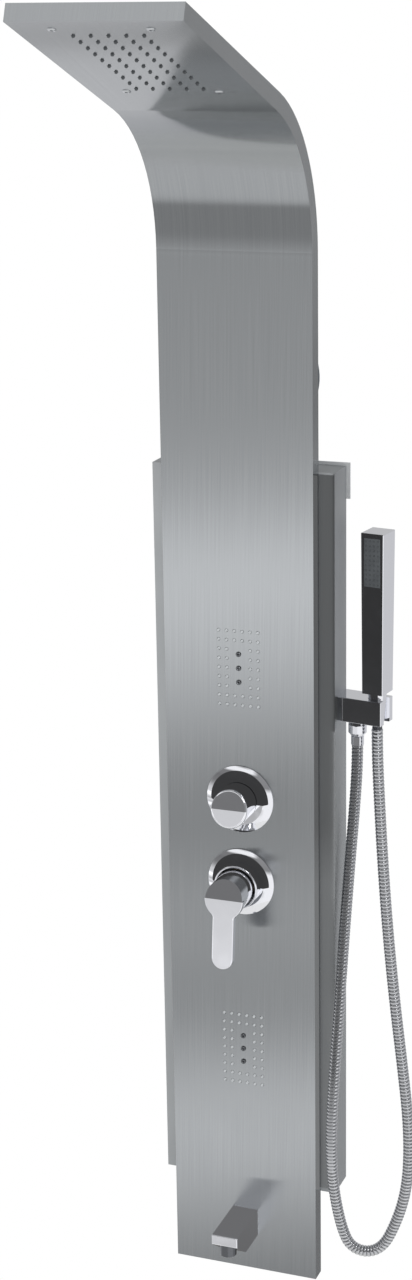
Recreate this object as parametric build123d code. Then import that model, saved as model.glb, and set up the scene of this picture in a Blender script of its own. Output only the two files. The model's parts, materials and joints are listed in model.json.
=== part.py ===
from build123d import *
import os
from math import cos, radians, sin, tan

# Rainfall shower column for a bathroom wall, in millimetres.
# The origin is on the wall, in the middle of the four wall screws.
# +X is to the right for someone facing the column, +Y goes into the wall and +Z is up.

# Folded panel and rain head
SHEET = 1.5             # stainless sheet of the panel
PANEL_WIDTH = 200.0
PANEL_OUT = 72.0        # wall to the front face of the panel
FLANGE = 22.0           # depth of the panel's folded sides
LIP = 20.0              # height of the folded front lip of the head
PANEL_BOTTOM = -615.0
HEAD_CORNER = 891.5     # height at which the panel's line and the head's line would cross
HEAD_LENGTH = 435.0     # from that crossing to the front lip
HEAD_RISE = 20.7        # degrees that the head climbs towards the room
BEND_RADIUS = 185.0     # of the front face
COVER_SHEET = 1.2
COVER_GAP = 0.3         # between the head cover and the folded sides

# Box behind the panel and its wall brackets
BOX_WIDTH = 241.0
BOX_TOP = 493.0
BOX_BOTTOM = -493.0
BOX_SHEET = 1.2
BOX_LIP = 15.0          # turned-in edge round the open back
WINDOW_WIDTH = 160.0    # opening in the box front, hidden by the panel
WINDOW_MARGIN = 20.0
BRACKET_SHEET = 2.0
UPPER_BRACKET_WIDTH = 251.0
LOWER_BRACKET_WIDTH = 200.0
BRACKET_HEIGHT = 46.0
BRACKET_SHOW = 4.0      # how far the upper bracket stands above the box
HOOK_WIDTH = 30.0
HOOK_SPACING = 110.0
HOOK_REACH = 5.0
HOOK_RISE = 12.0
WALL_HOLE_R = 3.5
WALL_HOLE_SPACING_X = 160.0
WALL_HOLE_INSET = 28.0  # from the box's top and bottom to the wall screws
LIP_SCREW_SPACING = 120.0
SCREW_R = 2.0
SCREW_HEAD_R = 3.8
SCREW_HEAD = 2.2
SCREW_REACH = 4.0
SCREW_GAP = 0.2
ANGLE_LEG = 14.0
ANGLE_HEIGHT = 30.0
ANGLE_INSET = 60.0      # from the box's top and bottom to the middle of each angle

# Rain nozzles and water chamber
RAIN_COLUMNS = 5
RAIN_ROWS = 10
RAIN_PITCH = 20.0
RAIN_FIRST_ROW = 45.0   # behind the front edge of the head
TIP_ROOT_R = 2.2
TIP_END_R = 1.6
TIP_SHOW = 2.0
TIP_SIDES = 6
TIP_GAP = 0.3
MAT = 2.0
CHAMBER_WIDTH = 130.0
CHAMBER_FRONT = 31.0    # from the first nozzle row to the chamber's front
CHAMBER_REAR = 20.0     # from the last nozzle row to the chamber's rear
CHAMBER_HEIGHT = 12.0
CHAMBER_ROOF = 2.5
CHAMBER_RIM = 16.0
RAIN_INLET_X = 30.0
FIXING_SPACING_X = 111.0
FIXING_INSET = 10.5     # from the chamber's ends to the fixings
FIXING_HEAD_R = 5.0
FIXING_HEAD = 1.6
FIXING_R = 2.5

# Body jets
UPPER_JET_Z = 238.5
LOWER_JET_Z = -289.0
JET_COLUMNS = 6
JET_ROWS = 9
JET_BORDER = 2          # rows and columns of nubs on each side of the middle
JET_PITCH_X = 10.5
JET_PITCH_Z = 12.2
NUB_ROOT_R = 2.0
NUB_END_R = 1.4
NUB_SHOW = 1.8
CENTRE_JETS = 3
CENTRE_JET_PITCH = 18.5
CENTRE_JET_R = 3.2
CENTRE_JET_SHOW = 2.0
CENTRE_JET_BORE = 1.1
JET_MARGIN = 12.0       # from the outer nubs to the chamber's edge
JET_CHAMBER_DEPTH = 15.0
JET_WALL = 4.0

# Pipes and hoses inside
SPIGOT = 12.0           # hose tail
FEED_BORE_R = 4.0
FEED_R = 6.0
PIPE_R = 7.0
PIPE_BORE = 5.0
PORT_R = 10.0
PORT = 6.0
PORT_OUT = 40.0         # wall to the axis of the valves' ports
RISER_HOLE_X = 66.0
RISER_HOLE_OUT = 30.0   # wall to the middle of the riser's hole
RISER_STRAIGHT = 40.0   # straight stretch on each side of that hole
GROMMET_WALL = 2.0
GROMMET = 6.0
FERRULE = 20.0
FERRULE_WALL = 1.2
LINK_X = -70.0
LINK_INSET = 30.0       # from a jet group's middle to its side port
FEED_BEND = 18.0
# The riser's points are X, Y and a share of the climb: to the box's top, then from there to the bend
RISER_LOW = [(0, -40, 0.21), (14, -37, 0.46), (44, -32, 0.7), (61, -30, 0.86)]
RISER_HIGH = [(81, -27, 0.15), (90, -26, 0.33), (79, -34, 0.53), (56, -51, 0.72), (37, -62, 0.91)]
SPOUT_FEED_LEAD = 48.0   # straight run above the spout's elbow
SPOUT_FEED = [(-78, -40, -300), (-62, -58, -365), (-34, -58, -412)]

# Diverter
DIVERTER_Z = 63.0
PLATE_R = 45.0
PLATE_CROWN_R = 33.0
PLATE_EDGE = 1.2
PLATE = 7.0
PLATE_WALL = 1.5
DIVERTER_CAN_R = 20.0
DIVERTER_CAN = 44.0
DIVERTER_NECK_R = 13.0
DIVERTER_NECK = 8.5
LOCK_NUT = 5.0
LOCK_NUT_WALL = 5.0
FIT = 0.05              # radial clearance of turning and pushed fits
PANEL_HOLE_GAP = 0.3
SPINDLE_R = 5.0
SPINDLE_IN = 28.0
SPINDLE_SOCKET = 6.0    # how far the spindle enters the solid front of the knob
KNOB_R = 24.5
KNOB_OUT = 45.0         # panel face to the crease of the knob
KNOB_WALL = 4.0
KNOB_LIFT = 1.0         # gap between plate and knob
KNOB_FACE = 12.0        # solid front of the knob
KNOB_BOSS_R = 9.0
KNOB_ROUND = 3.0
CREASE_LOW = 6.3        # degrees: face below the crease leans out
CREASE_HIGH = 20.0      # degrees: face above the crease leans back
SET_SCREW_R = 2.4

# Mixer
MIXER_Z = -51.0
MIXER_CAN_R = 24.0
MIXER_CAN = 50.0
COLLAR_R = 20.0
COLLAR = 10.0
CARTRIDGE_R = 17.5
CARTRIDGE_IN = 31.5
CARTRIDGE_NECK_R = 14.5
CARTRIDGE_NUT = 3.5
ROTOR_R = 12.0
ROTOR_BASE = 7.7
ROTOR_SLOT = 9.0
ROTOR_FRONT = 5.0       # ahead of the lever's pivot
PIVOT_OUT = 27.0        # panel face to the lever's pivot
PIN_R = 2.0
PIN_LENGTH = 22.0
STEM = 8.0
STEM_BACK = 4.0
STEM_REACH = 29.0
BONNET_R = 29.5
BONNET_BORE = 26.5
BONNET_OUT = 23.0
BONNET_ROUND = 1.2
LEVER_R = 25.0
LEVER_CAVITY_R = 21.0
LEVER_CAVITY = 21.0
LEVER_SKIRT = 2.0       # behind the pivot
LEVER_OUT = 67.0        # panel face to the crease of the lever
LEVER_FACE_R = 26.0
LEVER_LENGTH = 92.0     # crease to the lever's end
PADDLE_WIDTH = 28.5
PADDLE = 8.0
PADDLE_ROUND = 1.5
NECK_ROUND = 8.0
ARM_R = 12.0
ARM_OUT = 30.0          # wall to the axis of the inlet arms
INLET_SPACING = 100.0
ARM_END = 12.0
INLET_R = 10.4          # G1/2 thread
INLET = 16.0
INLET_BORE = 6.0
VALVE = 10.0
SUPPLY_HOLE_R = 18.0    # holes in the box's floor for the supply hoses

# Tub spout
SPOUT_TOP = -524.5
SPOUT_HEIGHT = 38.0
SPOUT_WIDTH = 36.0
SPOUT_OUT = 83.0
SPOUT_NOSE = 13.5
SPOUT_FLAT = 49.0       # level part of the underside
SPOUT_ROUND = 1.5
AERATOR_R = 11.0
AERATOR_BACK = 15.0     # nose to the aerator's axis
AERATOR_DROP = 33.0     # spout top to the aerator's mouth
AERATOR = 20.0
AERATOR_WALL = 2.0
AERATOR_RECESS = 2.0
SPOUT_TAIL_R = 9.0
SPOUT_BORE_R = 6.0
SPOUT_NUT = 5.0
ELBOW = 24.0
ELBOW_DEPTH = 14.0

# Hand shower holder and outlet
HOLDER_Z = 186.6
HOLDER_OUT = 21.0       # wall to the middle of the holder
HOLDER_TURN = 8.5       # degrees that the holder points towards the room
HOLDER_LENGTH = 63.0
HOLDER_DEPTH = 36.0
HOLDER_HEIGHT = 32.0
HOLDER_ROUND = 1.0
SEAT_ALONG = 50.0       # box side to the seat's axis
SEAT_GAP = 0.3
FORK_SLOT = 17.0
OUTLET_ALONG = 22.5
OUTLET_R = 10.0
OUTLET = 10.0
NIPPLE_R = 8.0
NIPPLE_BORE = 5.0
NIPPLE_IN = 16.0
NIPPLE_OUT = 9.0
HOLDER_NUT = 6.0
HOSE_NUT_R = 11.8
HOSE_NUT = 21.0
HOSE_NUT_GAP = 1.0
HOSE_NUT_ROOF = 10.0    # solid end of the nut, round the hose
SLEEVE_R = 8.3          # crimped sleeve on the hose below that nut
SLEEVE = 12.0
CONE_TOP_R = 12.2
CONE_END_R = 9.3
CONE = 38.0
CONE_BORE_R = 5.0
HANDSET_LIFT = 8.4      # holder top to handset bottom

# Handset
HANDSET_LENGTH = 208.0
HANDSET_TOP_WIDTH = 31.0
HANDSET_TOP_DEPTH = 34.0
HANDSET_END_WIDTH = 28.5
HANDSET_END_DEPTH = 31.0
HANDSET_ROUND = 1.0
HANDSET_TAIL_R = 10.0
HANDSET_TAIL = 8.0
HANDSET_BORE = 5.0
WASHER = 2.0
SPRAY_WIDTH = 22.0
SPRAY_HEIGHT = 62.0
SPRAY_INSET = 6.0       # handset top to the spray face
SPRAY_DEPTH = 4.0
SPRAY_COLUMNS = 4
SPRAY_ROWS = 10
SPRAY_TIP_R = 1.1
SPRAY_SHOW = 0.8

# Shower hose: the points run from the outlet nut down, round and up to the conical nut
HOSE_R = 7.5
HOSE_VALLEY_R = 6.5
HOSE_BORE_R = 5.0
HOSE_RIBS = 80
HOSE_END = 16.0         # plain straight end, over one diameter
HOSE_LEAD = 38.0        # first and last runs of the route
HOSE_MIDDLE = [
    (139.5, -26.5, 50.0),
    (135.3, -33.0, -23.0),
    (132.2, -45.0, -110.0),
    (130.2, -61.0, -205.0),
    (128.5, -77.0, -295.0),
    (126.8, -86.5, -375.0),
    (127.8, -88.5, -435.0),
    (133.0, -87.5, -481.0),
    (141.5, -86.0, -522.0),
    (152.0, -83.5, -548.0),
    (174.5, -79.0, -556.0),
    (195.5, -74.5, -545.0),
    (210.0, -71.5, -513.0),
    (222.0, -68.5, -473.0),
    (227.5, -67.5, -427.0),
    (225.5, -64.0, -363.0),
    (216.0, -60.5, -288.0),
    (203.5, -56.5, -198.0),
    (192.0, -51.0, -103.0),
    (182.5, -43.5, -10.0),
    (175.0, -35.0, 72.0),
]
BEND_SHARE = 0.45       # how much of the shorter run beside a corner its bend takes up

OVER = 4.0              # how far a cutting shape runs past a face

# Worked out from the sizes above
RISE = radians(HEAD_RISE)
TURN = radians(90.0 - HEAD_RISE)
BEND_START = HEAD_CORNER - BEND_RADIUS * tan(TURN / 2.0)
BOX_OUT = PANEL_OUT - FLANGE
HEAD_TIP = Vector(0, -PANEL_OUT - HEAD_LENGTH * cos(RISE), HEAD_CORNER + HEAD_LENGTH * sin(RISE))
HEAD = Plane(origin=HEAD_TIP, x_dir=(1, 0, 0), z_dir=(0, sin(RISE), cos(RISE)))
CHAMBER_START = RAIN_FIRST_ROW - CHAMBER_FRONT
CHAMBER_STOP = RAIN_FIRST_ROW + (RAIN_ROWS - 1) * RAIN_PITCH + CHAMBER_REAR
CHAMBER_MIDDLE = (CHAMBER_START + CHAMBER_STOP) / 2.0
CHAMBER_BASE = SHEET + MAT
CHAMBER_TOP = CHAMBER_BASE + CHAMBER_HEIGHT
RAIN_INLET_DEPTH = (CHAMBER_BASE + CHAMBER_TOP) / 2.0
JET_HALF_WIDTH = (JET_COLUMNS - 1) * JET_PITCH_X / 2.0 + JET_MARGIN
JET_HALF_HEIGHT = (JET_ROWS - 1) * JET_PITCH_Z / 2.0 + JET_MARGIN
JET_BACK = -SHEET - MAT - JET_CHAMBER_DEPTH
JET_PORT = JET_BACK + JET_CHAMBER_DEPTH / 2.0
VALVE_PORT = PORT_OUT - PANEL_OUT
SPOUT_MIDDLE = SPOUT_TOP - SPOUT_HEIGHT / 2.0
ELBOW_FRONT = -SHEET - SPOUT_NUT
ELBOW_PORT = ELBOW_FRONT - ELBOW_DEPTH / 2.0
CONE_TOP = HOLDER_HEIGHT / 2.0 + HANDSET_LIFT
CONE_END = CONE_TOP - CONE
OUTLET_END = -HOLDER_HEIGHT / 2.0 - OUTLET
HOSE_NUT_TOP = -HOLDER_HEIGHT / 2.0 - HOSE_NUT_GAP
HOSE_NUT_END = HOSE_NUT_TOP - HOSE_NUT
SIDE = BOX_WIDTH / 2.0
HOLDER = Plane(
    origin=(SIDE, -HOLDER_OUT, HOLDER_Z),
    x_dir=(cos(radians(HOLDER_TURN)), -sin(radians(HOLDER_TURN)), 0),
    z_dir=(0, 0, 1),
)
SEAT = HOLDER * Pos(SEAT_ALONG, 0, 0)


def on_panel(z):
    """Plane on the panel's front face at a height: local Y is up and local Z points into the room."""
    return Plane(origin=(0, -PANEL_OUT, z), x_dir=(1, 0, 0), z_dir=(0, -1, 0))


def rod(radius, low, high):
    """Round bar along Z between two heights."""
    return Pos(0, 0, (low + high) / 2.0) * Cylinder(radius, high - low)


def ring(inner, outer, low, high):
    """Round tube along Z between two heights."""
    return rod(outer, low, high) - rod(inner, low - OVER, high + OVER)


def block(x, y, z):
    """Box between pairs of limits."""
    size = (x[1] - x[0], y[1] - y[0], z[1] - z[0])
    return Pos(sum(x) / 2.0, sum(y) / 2.0, sum(z) / 2.0) * Box(*size)


def turned(*points):
    """Solid turned about Z from (radius, height) corners."""
    return revolve(make_face(Plane.XZ * Polyline(*points, close=True)), Axis.Z)


def along_x(shape):
    """Turn a shape that was made along Z to lie along X."""
    return Rot(0, 90, 0) * shape


def along_y(shape):
    """Turn a shape that was made along Z to lie along Y."""
    return Rot(-90, 0, 0) * shape


def grid(columns, rows, pitch_x, pitch_y):
    """Points of a centred grid."""
    points = []
    for row in range(rows):
        for column in range(columns):
            x = (column - (columns - 1) / 2.0) * pitch_x
            points.append((x, (row - (rows - 1) / 2.0) * pitch_y))
    return points


def tip(root_r, end_r, length):
    """Small tapered nozzle standing on Z = 0."""
    root = RegularPolygon(root_r, TIP_SIDES)
    end = Pos(0, 0, length) * RegularPolygon(end_r, TIP_SIDES)
    return loft([root, end], ruled=True)


def copies(shape, points):
    """The same shape at each (x, y) point."""
    return [Pos(x, y, 0) * shape for x, y in points]


def round_holes(radius, points, low, high):
    """Round cutters at each point, between two heights."""
    return Pos(0, 0, low) * extrude(Sketch() + copies(Circle(radius), points), high - low)


# Panel, head cover, box and brackets


def bend_point(depth, angle):
    """Point on the bend's side view, a depth behind the front face."""
    reach = BEND_RADIUS + depth
    return (-PANEL_OUT - BEND_RADIUS + reach * cos(angle), BEND_START + reach * sin(angle))


def head_point(behind, depth):
    """Point of the head's side view, behind the lip and a depth above the spray face."""
    y = HEAD_TIP.Y + behind * cos(RISE) + depth * sin(RISE)
    return (y, HEAD_TIP.Z - behind * sin(RISE) + depth * cos(RISE))


def side_layer(near, near_tip, far, far_tip, low, behind, half_width):
    """Layer between two depths, from a low edge up round the bend to the lip."""
    outline = Curve() + [
        Line((-PANEL_OUT + near, low), bend_point(near, 0)),
        ThreePointArc(bend_point(near, 0), bend_point(near, TURN / 2), bend_point(near, TURN)),
        Line(bend_point(near, TURN), head_point(behind, near_tip)),
        Line(head_point(behind, near_tip), head_point(behind, far_tip)),
        Line(head_point(behind, far_tip), bend_point(far, TURN)),
        ThreePointArc(bend_point(far, TURN), bend_point(far, TURN / 2), bend_point(far, 0)),
        Line(bend_point(far, 0), (-PANEL_OUT + far, low)),
        Line((-PANEL_OUT + far, low), (-PANEL_OUT + near, low)),
    ]
    return extrude(make_face(Plane.YZ * outline), half_width, both=True)


def rain_points():
    middle = RAIN_FIRST_ROW + (RAIN_ROWS - 1) * RAIN_PITCH / 2.0
    return [(x, y + middle) for x, y in grid(RAIN_COLUMNS, RAIN_ROWS, RAIN_PITCH, RAIN_PITCH)]


def fixing_points():
    spacing = CHAMBER_STOP - CHAMBER_START - 2 * FIXING_INSET
    return [(x, y + CHAMBER_MIDDLE) for x, y in grid(2, 2, FIXING_SPACING_X, spacing)]


def nub_points():
    bare_x = (JET_COLUMNS / 2.0 - JET_BORDER) * JET_PITCH_X
    bare_z = (JET_ROWS / 2.0 - JET_BORDER) * JET_PITCH_Z
    points = grid(JET_COLUMNS, JET_ROWS, JET_PITCH_X, JET_PITCH_Z)
    return [(x, z) for x, z in points if abs(x) > bare_x or abs(z) > bare_z]


def centre_jet_points():
    return grid(1, CENTRE_JETS, 0, CENTRE_JET_PITCH)


def angle_points():
    x = PANEL_WIDTH / 2 - SHEET - ANGLE_LEG / 2
    heights = (BOX_BOTTOM + ANGLE_INSET, BOX_TOP - ANGLE_INSET)
    return [(side * x, z) for side in (-1, 1) for z in heights]


def inlet_points():
    return [-INLET_SPACING / 2, INLET_SPACING / 2]


def lip_screw_points():
    return [-LIP_SCREW_SPACING / 2, LIP_SCREW_SPACING / 2]


def front_panel():
    """One folded sheet: plain front, bend, rain head, turned-back sides, lip and bottom edge."""
    panel = side_layer(0, 0, FLANGE, LIP, PANEL_BOTTOM, 0, PANEL_WIDTH / 2)
    low = PANEL_BOTTOM + SHEET
    half = PANEL_WIDTH / 2 - SHEET
    panel -= side_layer(SHEET, SHEET, FLANGE + OVER, LIP + OVER, low, SHEET, half)
    head_limits = (-OVER, SHEET + OVER)
    limits = (-SHEET - OVER, OVER)
    panel -= HEAD * round_holes(TIP_ROOT_R + TIP_GAP, rain_points(), *head_limits)
    panel -= HEAD * round_holes(FIXING_R + SCREW_GAP, fixing_points(), *head_limits)
    for z in (UPPER_JET_Z, LOWER_JET_Z):
        panel -= on_panel(z) * round_holes(NUB_ROOT_R + TIP_GAP, nub_points(), *limits)
        panel -= on_panel(z) * round_holes(CENTRE_JET_R + TIP_GAP, centre_jet_points(), *limits)
    panel -= on_panel(DIVERTER_Z) * rod(DIVERTER_NECK_R + PANEL_HOLE_GAP, *limits)
    panel -= on_panel(MIXER_Z) * rod(COLLAR_R + PANEL_HOLE_GAP, *limits)
    panel -= on_panel(SPOUT_MIDDLE) * rod(SPOUT_TAIL_R + PANEL_HOLE_GAP, *limits)
    return panel


def head_cover():
    """Bent sheet that closes the top of the head and the back of the bend."""
    inner = FLANGE - COVER_SHEET
    half = PANEL_WIDTH / 2 - SHEET - COVER_GAP
    return side_layer(inner, LIP - COVER_SHEET, FLANGE, LIP, BEND_START - OVER, SHEET + COVER_GAP, half)


def back_box():
    """Folded box with an open back, a turned-in edge round it and a window behind the panel."""
    back = -BRACKET_SHEET
    box = block((-SIDE, SIDE), (-BOX_OUT, back), (BOX_BOTTOM, BOX_TOP))
    wide = (-SIDE + BOX_SHEET, SIDE - BOX_SHEET)
    deep = (-BOX_OUT + BOX_SHEET, back - BOX_SHEET)
    box -= block(wide, deep, (BOX_BOTTOM + BOX_SHEET, BOX_TOP - BOX_SHEET))
    mouth = (BOX_BOTTOM + BOX_LIP, BOX_TOP - BOX_LIP)
    box -= block((-SIDE + BOX_LIP, SIDE - BOX_LIP), (back - BOX_SHEET - OVER, OVER), mouth)
    window = (BOX_BOTTOM + WINDOW_MARGIN, BOX_TOP - WINDOW_MARGIN)
    box -= block((-WINDOW_WIDTH / 2, WINDOW_WIDTH / 2), (-BOX_OUT - OVER, -BOX_OUT + OVER), window)
    for x in inlet_points():
        box -= Pos(x, -ARM_OUT, BOX_BOTTOM) * Cylinder(SUPPLY_HOLE_R, 2 * OVER)
    riser = Pos(RISER_HOLE_X, -RISER_HOLE_OUT, BOX_TOP)
    box -= riser * Cylinder(FEED_R + GROMMET_WALL, 2 * OVER)
    box -= Pos(SIDE, -HOLDER_OUT, HOLDER_Z) * along_x(Cylinder(NIPPLE_R + PANEL_HOLE_GAP, 2 * OVER))
    hole = along_y(Cylinder(SCREW_R + SCREW_GAP, 2 * OVER))
    for x, z in angle_points():
        box -= Pos(x, -BOX_OUT, z) * hole
    for x in lip_screw_points():
        box -= Pos(x, back, BOX_BOTTOM + BOX_LIP / 2) * hole
    return box


def panel_angles():
    """Four small angles inside the panel, which hold it to the front of the box."""
    inside = PANEL_WIDTH / 2 - SHEET
    hole = along_y(Cylinder(SCREW_R + SCREW_GAP, 2 * OVER))
    angles = []
    for x, z in angle_points():
        side = 1 if x > 0 else -1
        height = (z - ANGLE_HEIGHT / 2, z + ANGLE_HEIGHT / 2)
        foot = sorted((side * inside, side * (inside - ANGLE_LEG)))
        wall = sorted((side * inside, side * (inside - SHEET)))
        angle = block(foot, (-BOX_OUT - SHEET, -BOX_OUT), height)
        angle += block(wall, (-BOX_OUT - ANGLE_LEG, -BOX_OUT), height)
        angles.append(angle - Pos(x, -BOX_OUT, z) * hole)
    return angles


def screw(length):
    """Round-headed screw with its head on the room side of Y = 0 and its shank towards the wall."""
    return along_y(rod(SCREW_HEAD_R, -SCREW_HEAD, 0) + rod(SCREW_R, 0, length))


def panel_screws():
    return [Pos(x, -BOX_OUT - SHEET, z) * screw(SHEET + SCREW_REACH) for x, z in angle_points()]


def bracket_plate(width, low, z):
    """Wall plate with its two screw holes."""
    plate = block((-width / 2, width / 2), (-BRACKET_SHEET, 0), (low, low + BRACKET_HEIGHT))
    hole = along_y(Cylinder(WALL_HOLE_R, 2 * BRACKET_SHEET + OVER))
    for side in (-1, 1):
        plate -= Pos(side * WALL_HOLE_SPACING_X / 2, 0, z) * hole
    return plate


def upper_wall_bracket():
    """Plate with two upturned hooks, which the turned-in top edge of the box drops into."""
    low = BOX_TOP + BRACKET_SHOW - BRACKET_HEIGHT
    bracket = bracket_plate(UPPER_BRACKET_WIDTH, low, BOX_TOP - WALL_HOLE_INSET)
    seat = BOX_TOP - BOX_LIP
    front = -BRACKET_SHEET - HOOK_REACH
    for side in (-1, 1):
        middle = side * HOOK_SPACING / 2
        x = (middle - HOOK_WIDTH / 2, middle + HOOK_WIDTH / 2)
        bracket += block(x, (front, -BRACKET_SHEET), (seat - BRACKET_SHEET, seat))
        bracket += block(x, (front, front + BRACKET_SHEET), (seat - BRACKET_SHEET, seat + HOOK_RISE))
    return bracket


def lower_wall_bracket():
    """Plate that the turned-in bottom edge of the box is screwed to."""
    low = BOX_BOTTOM + BRACKET_SHOW
    bracket = bracket_plate(LOWER_BRACKET_WIDTH, low, BOX_BOTTOM + WALL_HOLE_INSET)
    hole = along_y(Cylinder(SCREW_R + FIT, 2 * BRACKET_SHEET + OVER))
    for x in lip_screw_points():
        bracket -= Pos(x, 0, BOX_BOTTOM + BOX_LIP / 2) * hole
    return bracket


def lower_bracket_screws():
    z = BOX_BOTTOM + BOX_LIP / 2
    length = BOX_SHEET + BRACKET_SHEET
    return [Pos(x, -BRACKET_SHEET - BOX_SHEET, z) * screw(length) for x in lip_screw_points()]


# Rain head and body jets


def rain_nozzle_mat():
    """Silicone mat behind the sheet, whose tips come through the holes of the head."""
    half = CHAMBER_WIDTH / 2
    base = block((-half, half), (CHAMBER_START, CHAMBER_STOP), (SHEET, CHAMBER_BASE))
    base -= round_holes(FIXING_R + SCREW_GAP, fixing_points(), 0, CHAMBER_BASE + OVER)
    nozzle = tip(TIP_ROOT_R, TIP_END_R, SHEET + TIP_SHOW)
    nozzle = Pos(0, 0, SHEET) * Rot(180, 0, 0) * nozzle
    return HEAD * (base + copies(nozzle, rain_points()))


def rain_chamber():
    """Shallow water chamber clamped on the mat, with its hose tail at the rear."""
    half = CHAMBER_WIDTH / 2
    chamber = block((-half, half), (CHAMBER_START, CHAMBER_STOP), (CHAMBER_BASE, CHAMBER_TOP))
    wide = (-half + CHAMBER_RIM, half - CHAMBER_RIM)
    long = (CHAMBER_START + CHAMBER_RIM, CHAMBER_STOP - CHAMBER_RIM)
    chamber -= block(wide, long, (0, CHAMBER_TOP - CHAMBER_ROOF))
    chamber -= round_holes(FIXING_R + FIT, fixing_points(), 0, CHAMBER_TOP - CHAMBER_ROOF)
    tail = Pos(RAIN_INLET_X, CHAMBER_STOP, RAIN_INLET_DEPTH) * along_y(rod(FEED_BORE_R - FIT, 0, SPIGOT))
    return HEAD * (chamber + tail)


def rain_chamber_screws():
    shank = CHAMBER_TOP - 2 * CHAMBER_ROOF
    fixing = rod(FIXING_HEAD_R, -FIXING_HEAD, 0) + rod(FIXING_R, 0, shank)
    return [HEAD * shape for shape in copies(fixing, fixing_points())]


def jet_mat(z):
    """Silicone mat of a jet group, with a border of nubs round the three middle jets."""
    x = (-JET_HALF_WIDTH, JET_HALF_WIDTH)
    y = (-JET_HALF_HEIGHT, JET_HALF_HEIGHT)
    base = block(x, y, (-SHEET - MAT, -SHEET))
    base -= round_holes(CENTRE_JET_R + FIT, centre_jet_points(), -SHEET - MAT - OVER, 0)
    nub = Pos(0, 0, -SHEET) * tip(NUB_ROOT_R, NUB_END_R, SHEET + NUB_SHOW)
    return on_panel(z) * (base + copies(nub, nub_points()))


def jet_nozzles(z):
    """The three middle jets of a group."""
    base = -SHEET - MAT
    shoulder = CENTRE_JET_SHOW / 2
    jet = turned(
        (CENTRE_JET_BORE, base),
        (CENTRE_JET_R, base),
        (CENTRE_JET_R, shoulder),
        (CENTRE_JET_R - shoulder, CENTRE_JET_SHOW),
        (CENTRE_JET_BORE, CENTRE_JET_SHOW),
    )
    return [on_panel(z) * shape for shape in copies(jet, centre_jet_points())]


def jet_chamber(z, side_port_z, fed_from_below):
    """Water chamber behind a jet group, with hose tails on its left side and perhaps below."""
    x = (-JET_HALF_WIDTH, JET_HALF_WIDTH)
    y = (-JET_HALF_HEIGHT, JET_HALF_HEIGHT)
    chamber = block(x, y, (JET_BACK, -SHEET - MAT))
    x = (-JET_HALF_WIDTH + JET_WALL, JET_HALF_WIDTH - JET_WALL)
    y = (-JET_HALF_HEIGHT + JET_WALL, JET_HALF_HEIGHT - JET_WALL)
    chamber -= block(x, y, (JET_BACK + JET_WALL, 0))
    tail = rod(FEED_BORE_R - FIT, -SPIGOT, 0)
    chamber += Pos(-JET_HALF_WIDTH, side_port_z - z, JET_PORT) * along_x(tail)
    if fed_from_below:
        chamber += Pos(0, -JET_HALF_HEIGHT, JET_PORT) * along_y(tail)
    return on_panel(z) * chamber


# Diverter


def wall_plate(hole_r):
    """Domed chrome plate with a hollow back."""
    edge = (PLATE_R, PLATE_EDGE)
    crown = (PLATE_CROWN_R, PLATE)
    shoulder = ((PLATE_R + 2 * PLATE_CROWN_R) / 3, (3 * PLATE + PLATE_EDGE) / 4)
    inner = PLATE - PLATE_WALL
    inner_shoulder = (shoulder[0] - PLATE_WALL, shoulder[1] - PLATE_WALL)
    outline = Curve() + [
        Line((PLATE_R, 0), edge),
        ThreePointArc(edge, shoulder, crown),
        Line(crown, (hole_r, PLATE)),
        Line((hole_r, PLATE), (hole_r, inner)),
        Line((hole_r, inner), (PLATE_CROWN_R - PLATE_WALL, inner)),
        ThreePointArc((PLATE_CROWN_R - PLATE_WALL, inner), inner_shoulder, (PLATE_R - PLATE_WALL, 0)),
        Line((PLATE_R - PLATE_WALL, 0), (PLATE_R, 0)),
    ]
    return revolve(make_face(Plane.XZ * outline), Axis.Z)


def creased_head(radius, low, crease):
    """Round head whose face has a level crease: it leans out below the crease and back above it."""
    reach = radius + OVER
    down = crease + reach * tan(radians(CREASE_LOW))
    up = crease - reach * tan(radians(CREASE_HIGH))
    side = Polyline((-reach, low), (-reach, down), (0, crease), (reach, up), (reach, low), close=True)
    return rod(radius, low, down + OVER) & extrude(make_face(Plane.YZ * side), reach, both=True)


def hex_nut(bore_r, wall, low, high):
    """Hexagon nut along Z."""
    blank = Pos(0, 0, low) * extrude(RegularPolygon(bore_r + wall, 6, major_radius=False), high - low)
    return blank - rod(bore_r, low - OVER, high + OVER)


def diverter_body():
    """Brass valve can with its threaded neck, water inlet below and four hose tails."""
    can = rod(DIVERTER_CAN_R, -SHEET - DIVERTER_CAN, -SHEET) + rod(DIVERTER_NECK_R, -SHEET, DIVERTER_NECK)
    can -= rod(SPINDLE_R + FIT, -SPINDLE_IN, DIVERTER_NECK + OVER)
    reach = DIVERTER_CAN_R - PORT
    tail = rod(FEED_BORE_R - FIT, reach, DIVERTER_CAN_R + SPIGOT)
    can += Pos(0, 0, VALVE_PORT) * along_y(rod(PORT_R, -DIVERTER_CAN_R - PORT, -reach))
    can += Pos(0, 0, VALVE_PORT) * along_y(tail)
    can += Pos(0, 0, JET_PORT) * along_y(tail)
    can += Pos(0, 0, VALVE_PORT) * along_x(tail)
    can += Pos(0, 0, VALVE_PORT) * Rot(0, 0, 180) * along_x(tail)
    return on_panel(DIVERTER_Z) * can


def diverter_lock_nut():
    return on_panel(DIVERTER_Z) * hex_nut(DIVERTER_NECK_R + FIT, LOCK_NUT_WALL, 0, LOCK_NUT)


def diverter_plate():
    return on_panel(DIVERTER_Z) * wall_plate(DIVERTER_NECK_R + PANEL_HOLE_GAP)


def diverter_spindle():
    return on_panel(DIVERTER_Z) * rod(SPINDLE_R, -SPINDLE_IN + FIT, KNOB_OUT - KNOB_FACE + SPINDLE_SOCKET)


def knob_screw_out():
    return KNOB_OUT - KNOB_FACE - SET_SCREW_R


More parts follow.
